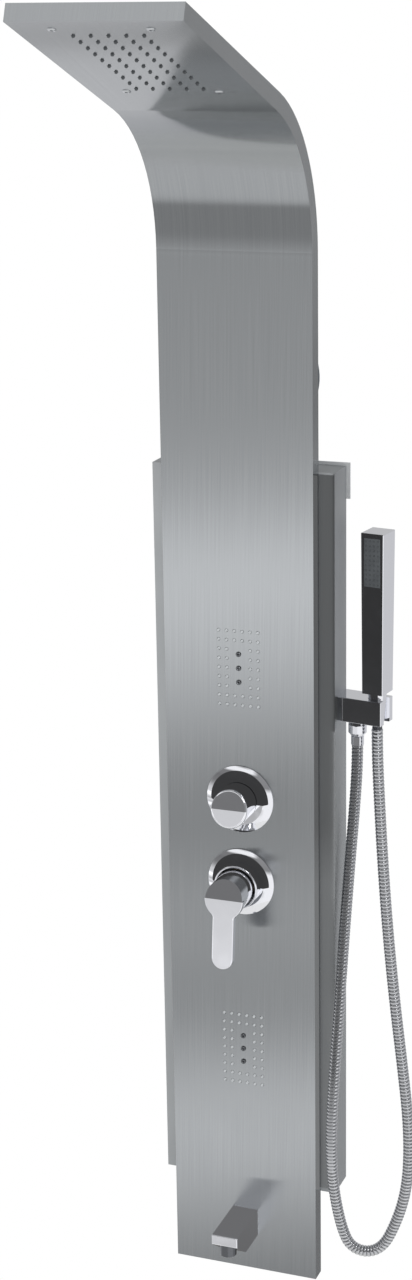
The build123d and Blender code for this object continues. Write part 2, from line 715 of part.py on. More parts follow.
def diverter_knob():
    """Turned chrome knob with a creased face, hollow behind, on a boss round the spindle."""
    base = PLATE + KNOB_LIFT
    knob = creased_head(KNOB_R, base, KNOB_OUT)
    face_edges = knob.faces().sort_by(Axis.Z)[-2:].edges()
    knob = fillet(face_edges.filter_by(GeomType.LINE, reverse=True), KNOB_ROUND)
    inside = KNOB_OUT - KNOB_FACE
    knob -= rod(KNOB_R - KNOB_WALL, base - OVER, inside)
    knob += rod(KNOB_BOSS_R, DIVERTER_NECK + KNOB_LIFT, inside)
    knob -= rod(SPINDLE_R + FIT, base, inside + SPINDLE_SOCKET + FIT)
    hole = rod(SET_SCREW_R + FIT, -KNOB_R - OVER, 0)
    knob -= Pos(0, 0, knob_screw_out()) * along_y(hole)
    return on_panel(DIVERTER_Z) * knob


def diverter_set_screw():
    grub = Pos(0, 0, knob_screw_out()) * along_y(rod(SET_SCREW_R, -KNOB_BOSS_R, -SPINDLE_R - FIT))
    return on_panel(DIVERTER_Z) * grub


# Mixer


def mixer_body():
    """Brass mixer body with its collar, inlet arms and outlet port."""
    can = rod(MIXER_CAN_R, -SHEET - MIXER_CAN, -SHEET) + rod(COLLAR_R, -SHEET, COLLAR)
    arm = ARM_OUT - PANEL_OUT
    can += Pos(0, 0, arm) * along_x(rod(ARM_R, -INLET_SPACING / 2 - ARM_END, INLET_SPACING / 2 + ARM_END))
    for x in inlet_points():
        can += Pos(x, 0, arm) * along_y(rod(ARM_R, -ARM_R - PORT, 0))
    can += Pos(0, 0, VALVE_PORT) * along_y(rod(PORT_R, 0, MIXER_CAN_R + PORT))
    can -= rod(CARTRIDGE_R + FIT, -CARTRIDGE_IN, COLLAR + OVER)
    return on_panel(MIXER_Z) * can


def inlet_nipple(x):
    """G1/2 nipple below an inlet arm, for the supply hose."""
    top = -ARM_R - PORT
    nipple = ring(INLET_BORE, INLET_R, top - INLET, top)
    return on_panel(MIXER_Z) * Pos(x, 0, ARM_OUT - PANEL_OUT) * along_y(nipple)


def inlet_check_valves():
    """Non-return valves pushed into the two inlet nipples."""
    top = -ARM_R - PORT
    valve = rod(INLET_BORE - FIT, top - VALVE, top)
    place = on_panel(MIXER_Z) * Pos(0, 0, ARM_OUT - PANEL_OUT)
    return [place * Pos(x, 0, 0) * along_y(valve) for x in inlet_points()]


def mixed_water_pipe():
    low = MIXER_Z + MIXER_CAN_R + PORT
    high = DIVERTER_Z - DIVERTER_CAN_R - PORT
    return Pos(0, -PORT_OUT, 0) * ring(PIPE_BORE, PIPE_R, low, high)


def mixer_lock_nut():
    return on_panel(MIXER_Z) * hex_nut(COLLAR_R + FIT, LOCK_NUT_WALL, 0, LOCK_NUT)


def mixer_plate():
    return on_panel(MIXER_Z) * wall_plate(BONNET_BORE)


def mixer_bonnet():
    """Chrome sleeve on the plate, round the cartridge."""
    sleeve = ring(BONNET_BORE, BONNET_R, PLATE, BONNET_OUT)
    front = sleeve.edges().filter_by(GeomType.CIRCLE).group_by(Axis.Z)[-1]
    return on_panel(MIXER_Z) * fillet(front, BONNET_ROUND)


def mixer_cartridge():
    """Ceramic cartridge with the bore that its rotor turns in."""
    front = PIVOT_OUT + ROTOR_FRONT
    cartridge = rod(CARTRIDGE_R, FIT - CARTRIDGE_IN, COLLAR) + rod(CARTRIDGE_NECK_R, COLLAR, front)
    cartridge -= rod(ROTOR_R + FIT, PIVOT_OUT - STEM_BACK - ROTOR_BASE - 2 * PIN_R, front + OVER)
    return on_panel(MIXER_Z) * cartridge


def cartridge_nut():
    """Nut on the collar that holds the cartridge down by its shoulder."""
    return on_panel(MIXER_Z) * ring(CARTRIDGE_NECK_R + FIT, COLLAR_R, COLLAR, COLLAR + CARTRIDGE_NUT)


def cartridge_rotor():
    """Turning core of the cartridge, slotted for the lever's stem."""
    front = PIVOT_OUT + ROTOR_FRONT
    slot = PIVOT_OUT - STEM_BACK - 2 * PIN_R + FIT
    rotor = rod(ROTOR_R, slot - ROTOR_BASE, front)
    reach = ROTOR_R + OVER
    rotor -= block((-ROTOR_SLOT / 2, ROTOR_SLOT / 2), (-reach, reach), (slot, front + OVER))
    rotor -= Pos(0, 0, PIVOT_OUT) * along_x(Cylinder(PIN_R + FIT, 2 * reach))
    return on_panel(MIXER_Z) * rotor


def lever_pin():
    return on_panel(MIXER_Z) * Pos(0, 0, PIVOT_OUT) * along_x(Cylinder(PIN_R, PIN_LENGTH))


def lever_stem():
    half = (-STEM / 2, STEM / 2)
    stem = block(half, half, (PIVOT_OUT - STEM_BACK, PIVOT_OUT + STEM_REACH))
    stem -= Pos(0, 0, PIVOT_OUT) * along_x(Cylinder(PIN_R + FIT, STEM + OVER))
    return on_panel(MIXER_Z) * stem


def lever_screw_out():
    return PIVOT_OUT + LEVER_CAVITY - LEVER_SKIRT + 2 * SET_SCREW_R


def mixer_lever():
    """Cast lever: round skirt over the cartridge, creased face and flat paddle hanging down."""
    back = PIVOT_OUT - LEVER_SKIRT
    lever = creased_head(LEVER_R, back, LEVER_OUT)
    lean = radians(CREASE_LOW)
    face = Plane(origin=(0, 0, LEVER_OUT), x_dir=(1, 0, 0), z_dir=(0, sin(lean), cos(lean)))
    straight = LEVER_LENGTH - PADDLE_WIDTH / 2
    outline = Circle(LEVER_FACE_R) + Pos(0, -straight / 2) * Rectangle(PADDLE_WIDTH, straight)
    outline += Pos(0, -straight) * Circle(PADDLE_WIDTH / 2)
    neck = outline.vertices().group_by(Axis.Y)[-1]
    outline = fillet(neck, NECK_ROUND)
    outline -= Pos(0, LEVER_FACE_R) * Rectangle(4 * LEVER_FACE_R, 2 * LEVER_FACE_R)
    paddle = extrude(outline, -PADDLE)
    rim = paddle.faces().sort_by(Axis.Z)[-1].edges().filter_by(lambda edge: edge.center().Y < -OVER)
    lever += face * fillet(rim, PADDLE_ROUND)
    cavity = back + LEVER_CAVITY
    lever -= rod(LEVER_CAVITY_R, back - OVER, cavity)
    socket = STEM / 2 + FIT
    lever -= block((-socket, socket), (-socket, socket), (cavity - OVER, PIVOT_OUT + STEM_REACH + FIT))
    lever -= Pos(0, 0, lever_screw_out()) * along_y(rod(SET_SCREW_R + FIT, -LEVER_R - OVER, 0))
    return on_panel(MIXER_Z) * lever


def lever_set_screw():
    grub = along_y(rod(SET_SCREW_R, -LEVER_R + 2 * SET_SCREW_R, -STEM / 2 - FIT))
    return on_panel(MIXER_Z) * Pos(0, 0, lever_screw_out()) * grub


# Tub spout


def aerator_out():
    return SPOUT_OUT - AERATOR_BACK


def spout():
    """Wedge-shaped spout with a level top, a tail through the panel and the aerator's pocket."""
    low = -SPOUT_HEIGHT / 2
    top = SPOUT_HEIGHT / 2
    nose = top - SPOUT_NOSE
    corners = ((low, 0), (low, SPOUT_FLAT), (nose, SPOUT_OUT), (top, SPOUT_OUT), (top, 0))
    body = extrude(make_face(Plane.YZ * Polyline(*corners, close=True)), SPOUT_WIDTH / 2, both=True)
    outer = body.edges().filter_by(lambda edge: edge.center().Z > SPOUT_ROUND)
    body = fillet(outer.filter_by(lambda edge: edge.center().Y > nose - SPOUT_ROUND), SPOUT_ROUND)
    body += rod(SPOUT_TAIL_R, ELBOW_FRONT, 0)
    body -= rod(SPOUT_BORE_R, ELBOW_FRONT - OVER, aerator_out())
    pocket = rod(AERATOR_R + FIT, -SPOUT_HEIGHT, top - AERATOR_DROP + AERATOR)
    body -= Pos(0, 0, aerator_out()) * along_y(pocket)
    return on_panel(SPOUT_MIDDLE) * body


def spout_aerator():
    """Round aerator with a recessed mouth."""
    mouth = SPOUT_HEIGHT / 2 - AERATOR_DROP
    aerator = rod(AERATOR_R, mouth, mouth + AERATOR)
    aerator -= rod(AERATOR_R - AERATOR_WALL, mouth - OVER, mouth + AERATOR_RECESS)
    return on_panel(SPOUT_MIDDLE) * Pos(0, 0, aerator_out()) * along_y(aerator)


def spout_nut():
    return on_panel(SPOUT_MIDDLE) * hex_nut(SPOUT_TAIL_R + FIT, LOCK_NUT_WALL, ELBOW_FRONT, -SHEET)


def spout_elbow():
    """Block behind the spout's tail that turns the water from the hose into it."""
    elbow = block((-ELBOW / 2, ELBOW / 2), (-ELBOW / 2, ELBOW / 2), (ELBOW_FRONT - ELBOW_DEPTH, ELBOW_FRONT))
    elbow -= rod(SPOUT_BORE_R, ELBOW_PORT, ELBOW_FRONT + OVER)
    elbow += Pos(0, 0, ELBOW_PORT) * along_y(rod(FEED_BORE_R - FIT, ELBOW / 2, ELBOW / 2 + SPIGOT))
    return on_panel(SPOUT_MIDDLE) * elbow


# Hand shower


def cone_r(z):
    """Outer radius of the conical nut at a height of the holder."""
    return CONE_END_R + (CONE_TOP_R - CONE_END_R) * (z - CONE_END) / CONE


def holder_block():
    """Chrome block on the side of the box: water outlet below and a fork for the conical nut."""
    half = HOLDER_HEIGHT / 2
    low = -half - OVER
    high = half + OVER
    across = (-HOLDER_DEPTH / 2, HOLDER_DEPTH / 2)
    bar = block((-HOLDER_DEPTH, HOLDER_LENGTH), across, (-half, half))
    bar = fillet(bar.edges(), HOLDER_ROUND)
    seat = turned((0, low), (cone_r(low) + SEAT_GAP, low), (cone_r(high) + SEAT_GAP, high), (0, high))
    bar -= Pos(SEAT_ALONG, 0, 0) * seat
    fork = (SEAT_ALONG, HOLDER_LENGTH + OVER)
    bar -= block(fork, (-FORK_SLOT / 2, FORK_SLOT / 2), (low, high))
    bar += Pos(OUTLET_ALONG, 0, 0) * rod(OUTLET_R, OUTLET_END, -half)
    bar -= Pos(OUTLET_ALONG, 0, 0) * rod(NIPPLE_BORE, OUTLET_END - OVER, 0)
    bar = HOLDER * bar
    inside = (SIDE - 2 * HOLDER_DEPTH, SIDE)
    bar -= block(inside, (-2 * HOLDER_LENGTH, HOLDER_LENGTH), (HOLDER_Z + low, HOLDER_Z + high))
    bore = rod(NIPPLE_R + FIT, -OVER, NIPPLE_OUT + FIT) + rod(NIPPLE_BORE, 0, OUTLET_ALONG)
    return bar - Pos(SIDE, -HOLDER_OUT, HOLDER_Z) * along_x(bore)


def holder_nipple():
    """Threaded tube through the box side, with a hose tail inside the box."""
    nipple = rod(NIPPLE_R, -NIPPLE_IN, NIPPLE_OUT) + rod(FEED_BORE_R - FIT, -NIPPLE_IN - SPIGOT, -NIPPLE_IN)
    return Pos(SIDE, -HOLDER_OUT, HOLDER_Z) * along_x(nipple)


def holder_nut():
    nut = hex_nut(NIPPLE_R + FIT, LOCK_NUT_WALL, -BOX_SHEET - HOLDER_NUT, -BOX_SHEET)
    return Pos(SIDE, -HOLDER_OUT, HOLDER_Z) * along_x(nut)


def hose_nut():
    """Nut that holds the hose on the outlet below the holder."""
    roof = HOSE_NUT_END + HOSE_NUT_ROOF
    shoulder = HOSE_NUT / 4
    nut = turned(
        (HOSE_BORE_R, HOSE_NUT_END),
        (HOSE_R + FIT, HOSE_NUT_END),
        (HOSE_NUT_R, HOSE_NUT_END + shoulder),
        (HOSE_NUT_R, HOSE_NUT_TOP - shoulder),
        (OUTLET_R + PANEL_HOLE_GAP + FIT, HOSE_NUT_TOP),
        (OUTLET_R + FIT, HOSE_NUT_TOP),
        (OUTLET_R + FIT, roof),
        (HOSE_BORE_R, roof),
    )
    return HOLDER * Pos(OUTLET_ALONG, 0, 0) * nut


def hose_sleeve():
    """Crimped sleeve on the plain end of the hose, below its nut."""
    sleeve = turned(
        (HOSE_VALLEY_R + FIT, HOSE_NUT_END - SLEEVE),
        (HOSE_R, HOSE_NUT_END - SLEEVE),
        (SLEEVE_R, HOSE_NUT_END - SLEEVE + SLEEVE_R - HOSE_R),
        (SLEEVE_R, HOSE_NUT_END),
        (HOSE_VALLEY_R + FIT, HOSE_NUT_END),
    )
    return HOLDER * Pos(OUTLET_ALONG, 0, 0) * sleeve


def hose_washer():
    washer = ring(HOSE_BORE_R, OUTLET_R - PANEL_HOLE_GAP, HOSE_NUT_END + HOSE_NUT_ROOF, OUTLET_END)
    return HOLDER * Pos(OUTLET_ALONG, 0, 0) * washer


def cone_nut():
    """Conical nut on the hose, which sits in the holder's fork and holds the handset."""
    floor = CONE_TOP - HANDSET_TAIL - WASHER
    return SEAT * turned(
        (CONE_BORE_R, CONE_END),
        (CONE_END_R, CONE_END),
        (CONE_TOP_R, CONE_TOP),
        (HANDSET_TAIL_R + FIT, CONE_TOP),
        (HANDSET_TAIL_R + FIT, floor),
        (CONE_BORE_R, floor),
    )


def handset_washer():
    floor = CONE_TOP - HANDSET_TAIL - WASHER
    return SEAT * ring(CONE_BORE_R, HANDSET_TAIL_R - PANEL_HOLE_GAP, floor, floor + WASHER)


def spray_limits(gap):
    """Limits of the spray face in the handset, with a gap round it."""
    top = CONE_TOP + HANDSET_LENGTH - SPRAY_INSET
    x = (-SPRAY_WIDTH / 2 - gap, SPRAY_WIDTH / 2 + gap)
    return x, (top - SPRAY_HEIGHT - gap, top + gap)


def handset_body():
    """Square bar handset, a little wider at the top, with a threaded tail and a spray pocket."""
    end = RectangleRounded(HANDSET_END_WIDTH, HANDSET_END_DEPTH, HANDSET_ROUND)
    top = RectangleRounded(HANDSET_TOP_WIDTH, HANDSET_TOP_DEPTH, HANDSET_ROUND)
    high = CONE_TOP + HANDSET_LENGTH
    body = loft([Pos(0, 0, CONE_TOP) * end, Pos(0, 0, high) * top], ruled=True)
    body = chamfer(body.faces().sort_by(Axis.Z)[-1].edges(), HANDSET_ROUND / 2)
    body += rod(HANDSET_TAIL_R, CONE_TOP - HANDSET_TAIL, CONE_TOP)
    front = -HANDSET_TOP_DEPTH / 2
    x, z = spray_limits(FIT)
    body -= block(x, (front - OVER, front + SPRAY_DEPTH), z)
    body -= rod(HANDSET_BORE, CONE_TOP - HANDSET_TAIL - OVER, (z[0] + z[1]) / 2)
    return SEAT * body


def handset_spray_face():
    """Rubber spray face with rows of small nozzles."""
    front = -HANDSET_TOP_DEPTH / 2
    x, z = spray_limits(0)
    face = block(x, (front, front + SPRAY_DEPTH), z)
    pitch_x = SPRAY_WIDTH / SPRAY_COLUMNS
    pitch_z = SPRAY_HEIGHT / SPRAY_ROWS
    points = grid(SPRAY_COLUMNS, SPRAY_ROWS, pitch_x, pitch_z)
    place = Pos(0, front, (z[0] + z[1]) / 2) * Rot(90, 0, 0)
    nozzle = tip(SPRAY_TIP_R, SPRAY_TIP_R - SPRAY_SHOW / 2, SPRAY_SHOW)
    return SEAT * (face + [place * shape for shape in copies(nozzle, points)])


# Hoses


def bend_radii(points):
    """Bend at each corner of a route, as large as the shorter run beside it allows."""
    radii = []
    for before, corner, after in zip(points, points[1:], points[2:]):
        first = Vector(*corner) - Vector(*before)
        second = Vector(*after) - Vector(*corner)
        half_turn = radians(first.get_angle(second)) / 2
        radii.append(BEND_SHARE * min(first.length, second.length) / tan(half_turn))
    return radii


def tube(path, bore_r, outer_r):
    """Round tube swept along a path."""
    section = Plane(origin=path @ 0, z_dir=path % 0) * (Circle(outer_r) - Circle(bore_r))
    return sweep(section, path)


def climb(points, low, high):
    """Route points whose height is a share of the way from one height to another."""
    return [(x, y, low + share * (high - low)) for x, y, share in points]


def rain_hose():
    """Riser from the diverter, out through the top of the box and up behind the panel."""
    start = (0, -PORT_OUT, DIVERTER_Z + DIVERTER_CAN_R)
    below = (RISER_HOLE_X, -RISER_HOLE_OUT, BOX_TOP - RISER_STRAIGHT)
    above = (RISER_HOLE_X, -RISER_HOLE_OUT, BOX_TOP + RISER_STRAIGHT)
    reach = (BEND_RADIUS + RAIN_INLET_DEPTH) / cos(TURN / 4) - BEND_RADIUS
    bends = [(RAIN_INLET_X, *bend_point(reach, share * TURN)) for share in (0.25, 0.75)]
    end = (RAIN_INLET_X, *head_point(CHAMBER_STOP, RAIN_INLET_DEPTH))
    low_points = climb(RISER_LOW, start[2], below[2])
    high_points = climb(RISER_HIGH, above[2], BEND_START)
    points = [start, *low_points, below, above, *high_points, *bends, end]
    return tube(FilletPolyline(*points, radius=bend_radii(points)), FEED_BORE_R, FEED_R)


def riser_grommet():
    """Rubber ring round the riser in the top of the box."""
    middle = BOX_TOP - BOX_SHEET / 2
    grommet = ring(FEED_R + FIT, FEED_R + GROMMET_WALL - FIT, middle - GROMMET / 2, middle + GROMMET / 2)
    collar_r = FEED_R + 2 * GROMMET_WALL
    grommet += ring(FEED_R + FIT, collar_r, BOX_TOP, middle + GROMMET / 2)
    return Pos(RISER_HOLE_X, -RISER_HOLE_OUT, 0) * grommet


def riser_ferrule():
    """Metal sleeve on the riser, just above the box."""
    low = BOX_TOP + (GROMMET - BOX_SHEET) / 2
    sleeve = ring(FEED_R + FIT, FEED_R + FERRULE_WALL, low, low + FERRULE)
    return Pos(RISER_HOLE_X, -RISER_HOLE_OUT, 0) * sleeve


def jet_feed_pipe():
    low = DIVERTER_Z + DIVERTER_CAN_R
    high = UPPER_JET_Z - JET_HALF_HEIGHT
    return Pos(0, -PANEL_OUT - JET_PORT, 0) * ring(FEED_BORE_R, FEED_R, low, high)


def jet_link_hose():
    """Hose from the upper jet chamber to the lower one."""
    out = -PANEL_OUT - JET_PORT
    high = UPPER_JET_Z - LINK_INSET
    low = LOWER_JET_Z + LINK_INSET
    corners = [(-JET_HALF_WIDTH, high), (LINK_X, high), (LINK_X, low), (-JET_HALF_WIDTH, low)]
    points = [(x, out, z) for x, z in corners]
    return tube(FilletPolyline(*points, radius=FEED_BEND), FEED_BORE_R, FEED_R)


def spout_hose():
    """Hose from the diverter down to the spout's elbow."""
    out = -PANEL_OUT - ELBOW_PORT
    end = SPOUT_MIDDLE + ELBOW / 2
    points = [
        (-DIVERTER_CAN_R, -PORT_OUT, DIVERTER_Z),
        (SPOUT_FEED[0][0], -PORT_OUT, DIVERTER_Z),
        *SPOUT_FEED,
        (0, out, end + SPOUT_FEED_LEAD),
        (0, out, end),
    ]
    return tube(FilletPolyline(*points, radius=FEED_BEND), FEED_BORE_R, FEED_R)


def hand_feed_hose():
    """Hose from the diverter to the holder on the side of the box."""
    end = SIDE - NIPPLE_IN
    turn = end - SPIGOT - FEED_BEND
    points = [
        (DIVERTER_CAN_R, -PORT_OUT, DIVERTER_Z),
        (turn, -PORT_OUT, DIVERTER_Z),
        (turn, -HOLDER_OUT, HOLDER_Z),
        (end, -HOLDER_OUT, HOLDER_Z),
    ]
    return tube(FilletPolyline(*points, radius=FEED_BEND), FEED_BORE_R, FEED_R)


def shower_hose_points():
    """Route from the outlet nut, straight down, round the loop and straight up into the conical nut."""
    start = (HOLDER * Pos(OUTLET_ALONG, 0, HOSE_NUT_END)).position
    end = (SEAT * Pos(0, 0, CONE_END)).position
    lead = Vector(0, 0, HOSE_LEAD)
    return [tuple(start), tuple(start - lead), *HOSE_MIDDLE, tuple(end - lead), tuple(end)]


def shower_hose():
    """Ribbed metal hose hanging in one loop from the outlet to the conical nut."""
    points = shower_hose_points()
    radii = bend_radii(points)
    print("shower hose bend radii", [round(radius) for radius in radii])
    path = FilletPolyline(*points, radius=radii)
    print("shower hose length", round(path.length))
    pitch = (path.length - 2 * HOSE_END) / HOSE_RIBS
    stations = [(0, HOSE_VALLEY_R)]
    for rib in range(HOSE_RIBS):
        for step, radius in enumerate((HOSE_VALLEY_R, HOSE_R, HOSE_R, HOSE_VALLEY_R)):
            stations.append((HOSE_END + (rib + (0.5 + step) / 4) * pitch, radius))
    stations.append((path.length, HOSE_VALLEY_R))
    rings = []
    for along, radius in stations:
        place = path.position_at(along, position_mode=PositionMode.LENGTH)
        heading = path.tangent_at(along, position_mode=PositionMode.LENGTH)
        rings.append(Plane(origin=place, x_dir=(0, 1, 0), z_dir=heading) * Circle(radius))
    bore = sweep(Plane(origin=path @ 0, x_dir=(0, 1, 0), z_dir=path % 0) * Circle(HOSE_BORE_R), path)
    return loft(rings, ruled=True) - bore


PARTS = {
    "front_panel": front_panel,
    "head_cover": head_cover,
    "back_box": back_box,
    "panel_angles": panel_angles,
    "panel_screws": panel_screws,
    "upper_wall_bracket": upper_wall_bracket,
    "lower_wall_bracket": lower_wall_bracket,
    "lower_bracket_screws": lower_bracket_screws,
    "rain_nozzle_mat": rain_nozzle_mat,
    "rain_chamber": rain_chamber,
    "rain_chamber_screws": rain_chamber_screws,
    "upper_jet_mat": lambda: jet_mat(UPPER_JET_Z),
    "upper_jet_nozzles": lambda: jet_nozzles(UPPER_JET_Z),
    "upper_jet_chamber": lambda: jet_chamber(UPPER_JET_Z, UPPER_JET_Z - LINK_INSET, True),
    "lower_jet_mat": lambda: jet_mat(LOWER_JET_Z),
    "lower_jet_nozzles": lambda: jet_nozzles(LOWER_JET_Z),
    "lower_jet_chamber": lambda: jet_chamber(LOWER_JET_Z, LOWER_JET_Z + LINK_INSET, False),
    "diverter_body": diverter_body,
    "diverter_lock_nut": diverter_lock_nut,
    "diverter_plate": diverter_plate,
    "diverter_spindle": diverter_spindle,
    "diverter_knob": diverter_knob,
    "diverter_set_screw": diverter_set_screw,
    "mixer_body": mixer_body,
    "hot_inlet_nipple": lambda: inlet_nipple(inlet_points()[0]),
    "cold_inlet_nipple": lambda: inlet_nipple(inlet_points()[1]),
    "inlet_check_valves": inlet_check_valves,
    "mixed_water_pipe": mixed_water_pipe,
    "mixer_lock_nut": mixer_lock_nut,
    "mixer_plate": mixer_plate,
    "mixer_bonnet": mixer_bonnet,
    "mixer_cartridge": mixer_cartridge,
    "cartridge_nut": cartridge_nut,
    "cartridge_rotor": cartridge_rotor,
    "lever_pin": lever_pin,
    "lever_stem": lever_stem,
    "mixer_lever": mixer_lever,
    "lever_set_screw": lever_set_screw,
    "spout": spout,
    "spout_aerator": spout_aerator,
    "spout_nut": spout_nut,
    "spout_elbow": spout_elbow,
    "holder_block": holder_block,
    "holder_nipple": holder_nipple,
    "holder_nut": holder_nut,
    "hose_nut": hose_nut,
    "hose_sleeve": hose_sleeve,
    "hose_washer": hose_washer,
    "shower_hose": shower_hose,
    "cone_nut": cone_nut,
    "handset_washer": handset_washer,
    "handset_body": handset_body,
    "handset_spray_face": handset_spray_face,
    "rain_hose": rain_hose,
    "riser_grommet": riser_grommet,
    "riser_ferrule": riser_ferrule,
    "jet_feed_pipe": jet_feed_pipe,
    "jet_link_hose": jet_link_hose,
    "spout_hose": spout_hose,
    "hand_feed_hose": hand_feed_hose,
}

os.makedirs("parts", exist_ok=True)
for node, make in PARTS.items():
    shape = make()
    if isinstance(shape, list):
        shape = Compound(children=shape)
    export_step(shape, f"parts/{node}.step")
print(len(PARTS), "sub-parts written")
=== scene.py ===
# %% [markdown]
# # A rainfall shower column, dressed in Blender
# The column is a bent panel of brushed stainless steel with a rain head, two groups of body jets, a
# diverter knob, a lever mixer, a tub spout and a hand shower on a ribbed metal hose. Its construction
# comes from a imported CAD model, which is loaded as a fixed frame. What is left to do here is the looks:
# finishes, small moulded pieces, the hose, the light and the camera. Lengths are in metres, and +Y goes
# into the wall.

# %% Load the fixed frame
import json
import math

import bmesh
import bpy
from mathutils import Matrix, Vector


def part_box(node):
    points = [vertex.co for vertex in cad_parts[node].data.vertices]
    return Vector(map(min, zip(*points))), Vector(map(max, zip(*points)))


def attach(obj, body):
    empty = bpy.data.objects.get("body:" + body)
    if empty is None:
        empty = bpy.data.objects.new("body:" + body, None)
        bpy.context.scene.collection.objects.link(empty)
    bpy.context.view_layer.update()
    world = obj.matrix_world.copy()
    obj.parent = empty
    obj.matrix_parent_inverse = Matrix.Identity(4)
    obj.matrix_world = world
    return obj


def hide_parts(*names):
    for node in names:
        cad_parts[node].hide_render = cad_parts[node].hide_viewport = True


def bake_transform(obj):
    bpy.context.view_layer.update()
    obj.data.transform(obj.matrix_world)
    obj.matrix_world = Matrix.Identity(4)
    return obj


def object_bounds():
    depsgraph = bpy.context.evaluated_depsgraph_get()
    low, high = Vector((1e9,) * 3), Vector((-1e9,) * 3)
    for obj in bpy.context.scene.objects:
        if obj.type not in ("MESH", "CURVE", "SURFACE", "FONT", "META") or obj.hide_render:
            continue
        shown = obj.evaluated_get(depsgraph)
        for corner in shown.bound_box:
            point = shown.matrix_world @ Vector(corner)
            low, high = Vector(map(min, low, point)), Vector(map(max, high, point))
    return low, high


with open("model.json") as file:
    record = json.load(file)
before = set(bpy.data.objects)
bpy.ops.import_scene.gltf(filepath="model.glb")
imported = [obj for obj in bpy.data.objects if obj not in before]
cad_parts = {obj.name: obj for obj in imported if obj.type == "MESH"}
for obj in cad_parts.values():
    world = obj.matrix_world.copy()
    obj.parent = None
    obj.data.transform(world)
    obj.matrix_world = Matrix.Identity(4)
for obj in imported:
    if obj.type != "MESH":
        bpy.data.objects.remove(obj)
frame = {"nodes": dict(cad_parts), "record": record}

MM = 0.001
nodes = frame["nodes"]
cad_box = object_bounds()
print("CAD nodes:", len(nodes), "box:", [tuple(round(v, 3) for v in corner) for corner in cad_box])

# %% [markdown]
# ## Camera
# The photograph looks at the column from the right and from above. Its place and turn were solved from
# the straight edges of the panel and the box, so the camera is set with those numbers and not by eye. The
# lens follows from the focal length in pixels: Blender's sensor width belongs to the long side of the
# picture.

# %% Camera
PHOTO_HEIGHT_PX = 1280
FOCAL_PX = 2386
CAMERA_PLACE = Vector((1.000, -2.782, 1.119))
CAMERA_YAW = math.radians(21.06)
CAMERA_PITCH = math.radians(16.26)
CAMERA_ROLL = math.radians(-0.96)

scene = bpy.context.scene
camera_data = bpy.data.cameras.new("camera")
camera_data.lens = FOCAL_PX / PHOTO_HEIGHT_PX * camera_data.sensor_width
camera = bpy.data.objects.new("camera", camera_data)
camera.matrix_world = (
    Matrix.Translation(CAMERA_PLACE)
    @ Matrix.Rotation(CAMERA_YAW, 4, "Z")
    @ Matrix.Rotation(math.pi / 2 - CAMERA_PITCH, 4, "X")
    @ Matrix.Rotation(CAMERA_ROLL, 4, "Z")
)
scene.collection.objects.link(camera)
scene.camera = camera
print("lens:", round(camera_data.lens, 1), "mm")

# %% [markdown]
# ## Helpers for finishes
# A material is a small network of nodes. Colours are written as sRGB hex values, as they are seen on a
# screen, and Blender's sockets want linear light, so one function turns them. Another one adds a node,
# sets it and links it. Each finish below is then only a few lines.

# %% Helpers for finishes
MIX_A = 6    # sockets of a Mix node in its colour mode
MIX_B = 7
MIX_OUT = 2


def colour(code):
    """Linear colour from an sRGB hex value."""
    parts = [int(code[i:i + 2], 16) / 255 for i in (1, 3, 5)]
    linear = [p / 12.92 if p <= 0.04045 else ((p + 0.055) / 1.055) ** 2.4 for p in parts]
    return (*linear, 1.0)


def add(tree, kind, inputs=None, **settings):
    """Adds a node. Its inputs are values, or the sockets of other nodes."""
    made = tree.nodes.new(kind)
    for name, value in settings.items():
        setattr(made, name, value)
    for key, value in (inputs or {}).items():
        if isinstance(value, bpy.types.NodeSocket):
            tree.links.new(value, made.inputs[key])
        else:
            made.inputs[key].default_value = value
    return made


def start_material(name, **sockets):
    """A new material, its node tree and its shader, with plain values set on the shader's own sockets."""
    material = bpy.data.materials.new(name)
    material.use_nodes = True
    tree = material.node_tree
    shader = tree.nodes["Principled BSDF"]
    for socket, value in sockets.items():
        shader.inputs[socket.replace("_", " ")].default_value = value
    return material, tree, shader


print("sRGB mid grey is", round(colour("#808080")[0], 3), "in linear light")

# %% [markdown]
# ## Brushed stainless steel
# The panel and its box are 304 stainless sheet, brushed with a belt along its length. The scratches
# spread reflections sideways and leave them sharp up and down, which is what an anisotropic shader does.
# Its tangent has to run across the brushing: the cross product of the vertical and the surface normal
# does that on every face. The real scratches are about 0.1 mm apart, too fine for the render, so they are
# drawn 1.2 mm wide.

# %% Brushed stainless steel
STREAK = 1.2 * MM
STREAK_LENGTH = 180 * MM
STREAK_DEPTH = 0.05 * MM
STREAK_ROUGH = 0.03       # roughness that a streak adds
CLOUD = 90 * MM           # size of the patches that were wiped more or less
UPWARDS = (0.02, 0, 1)    # tilted a little, so that it is never the normal of a level face


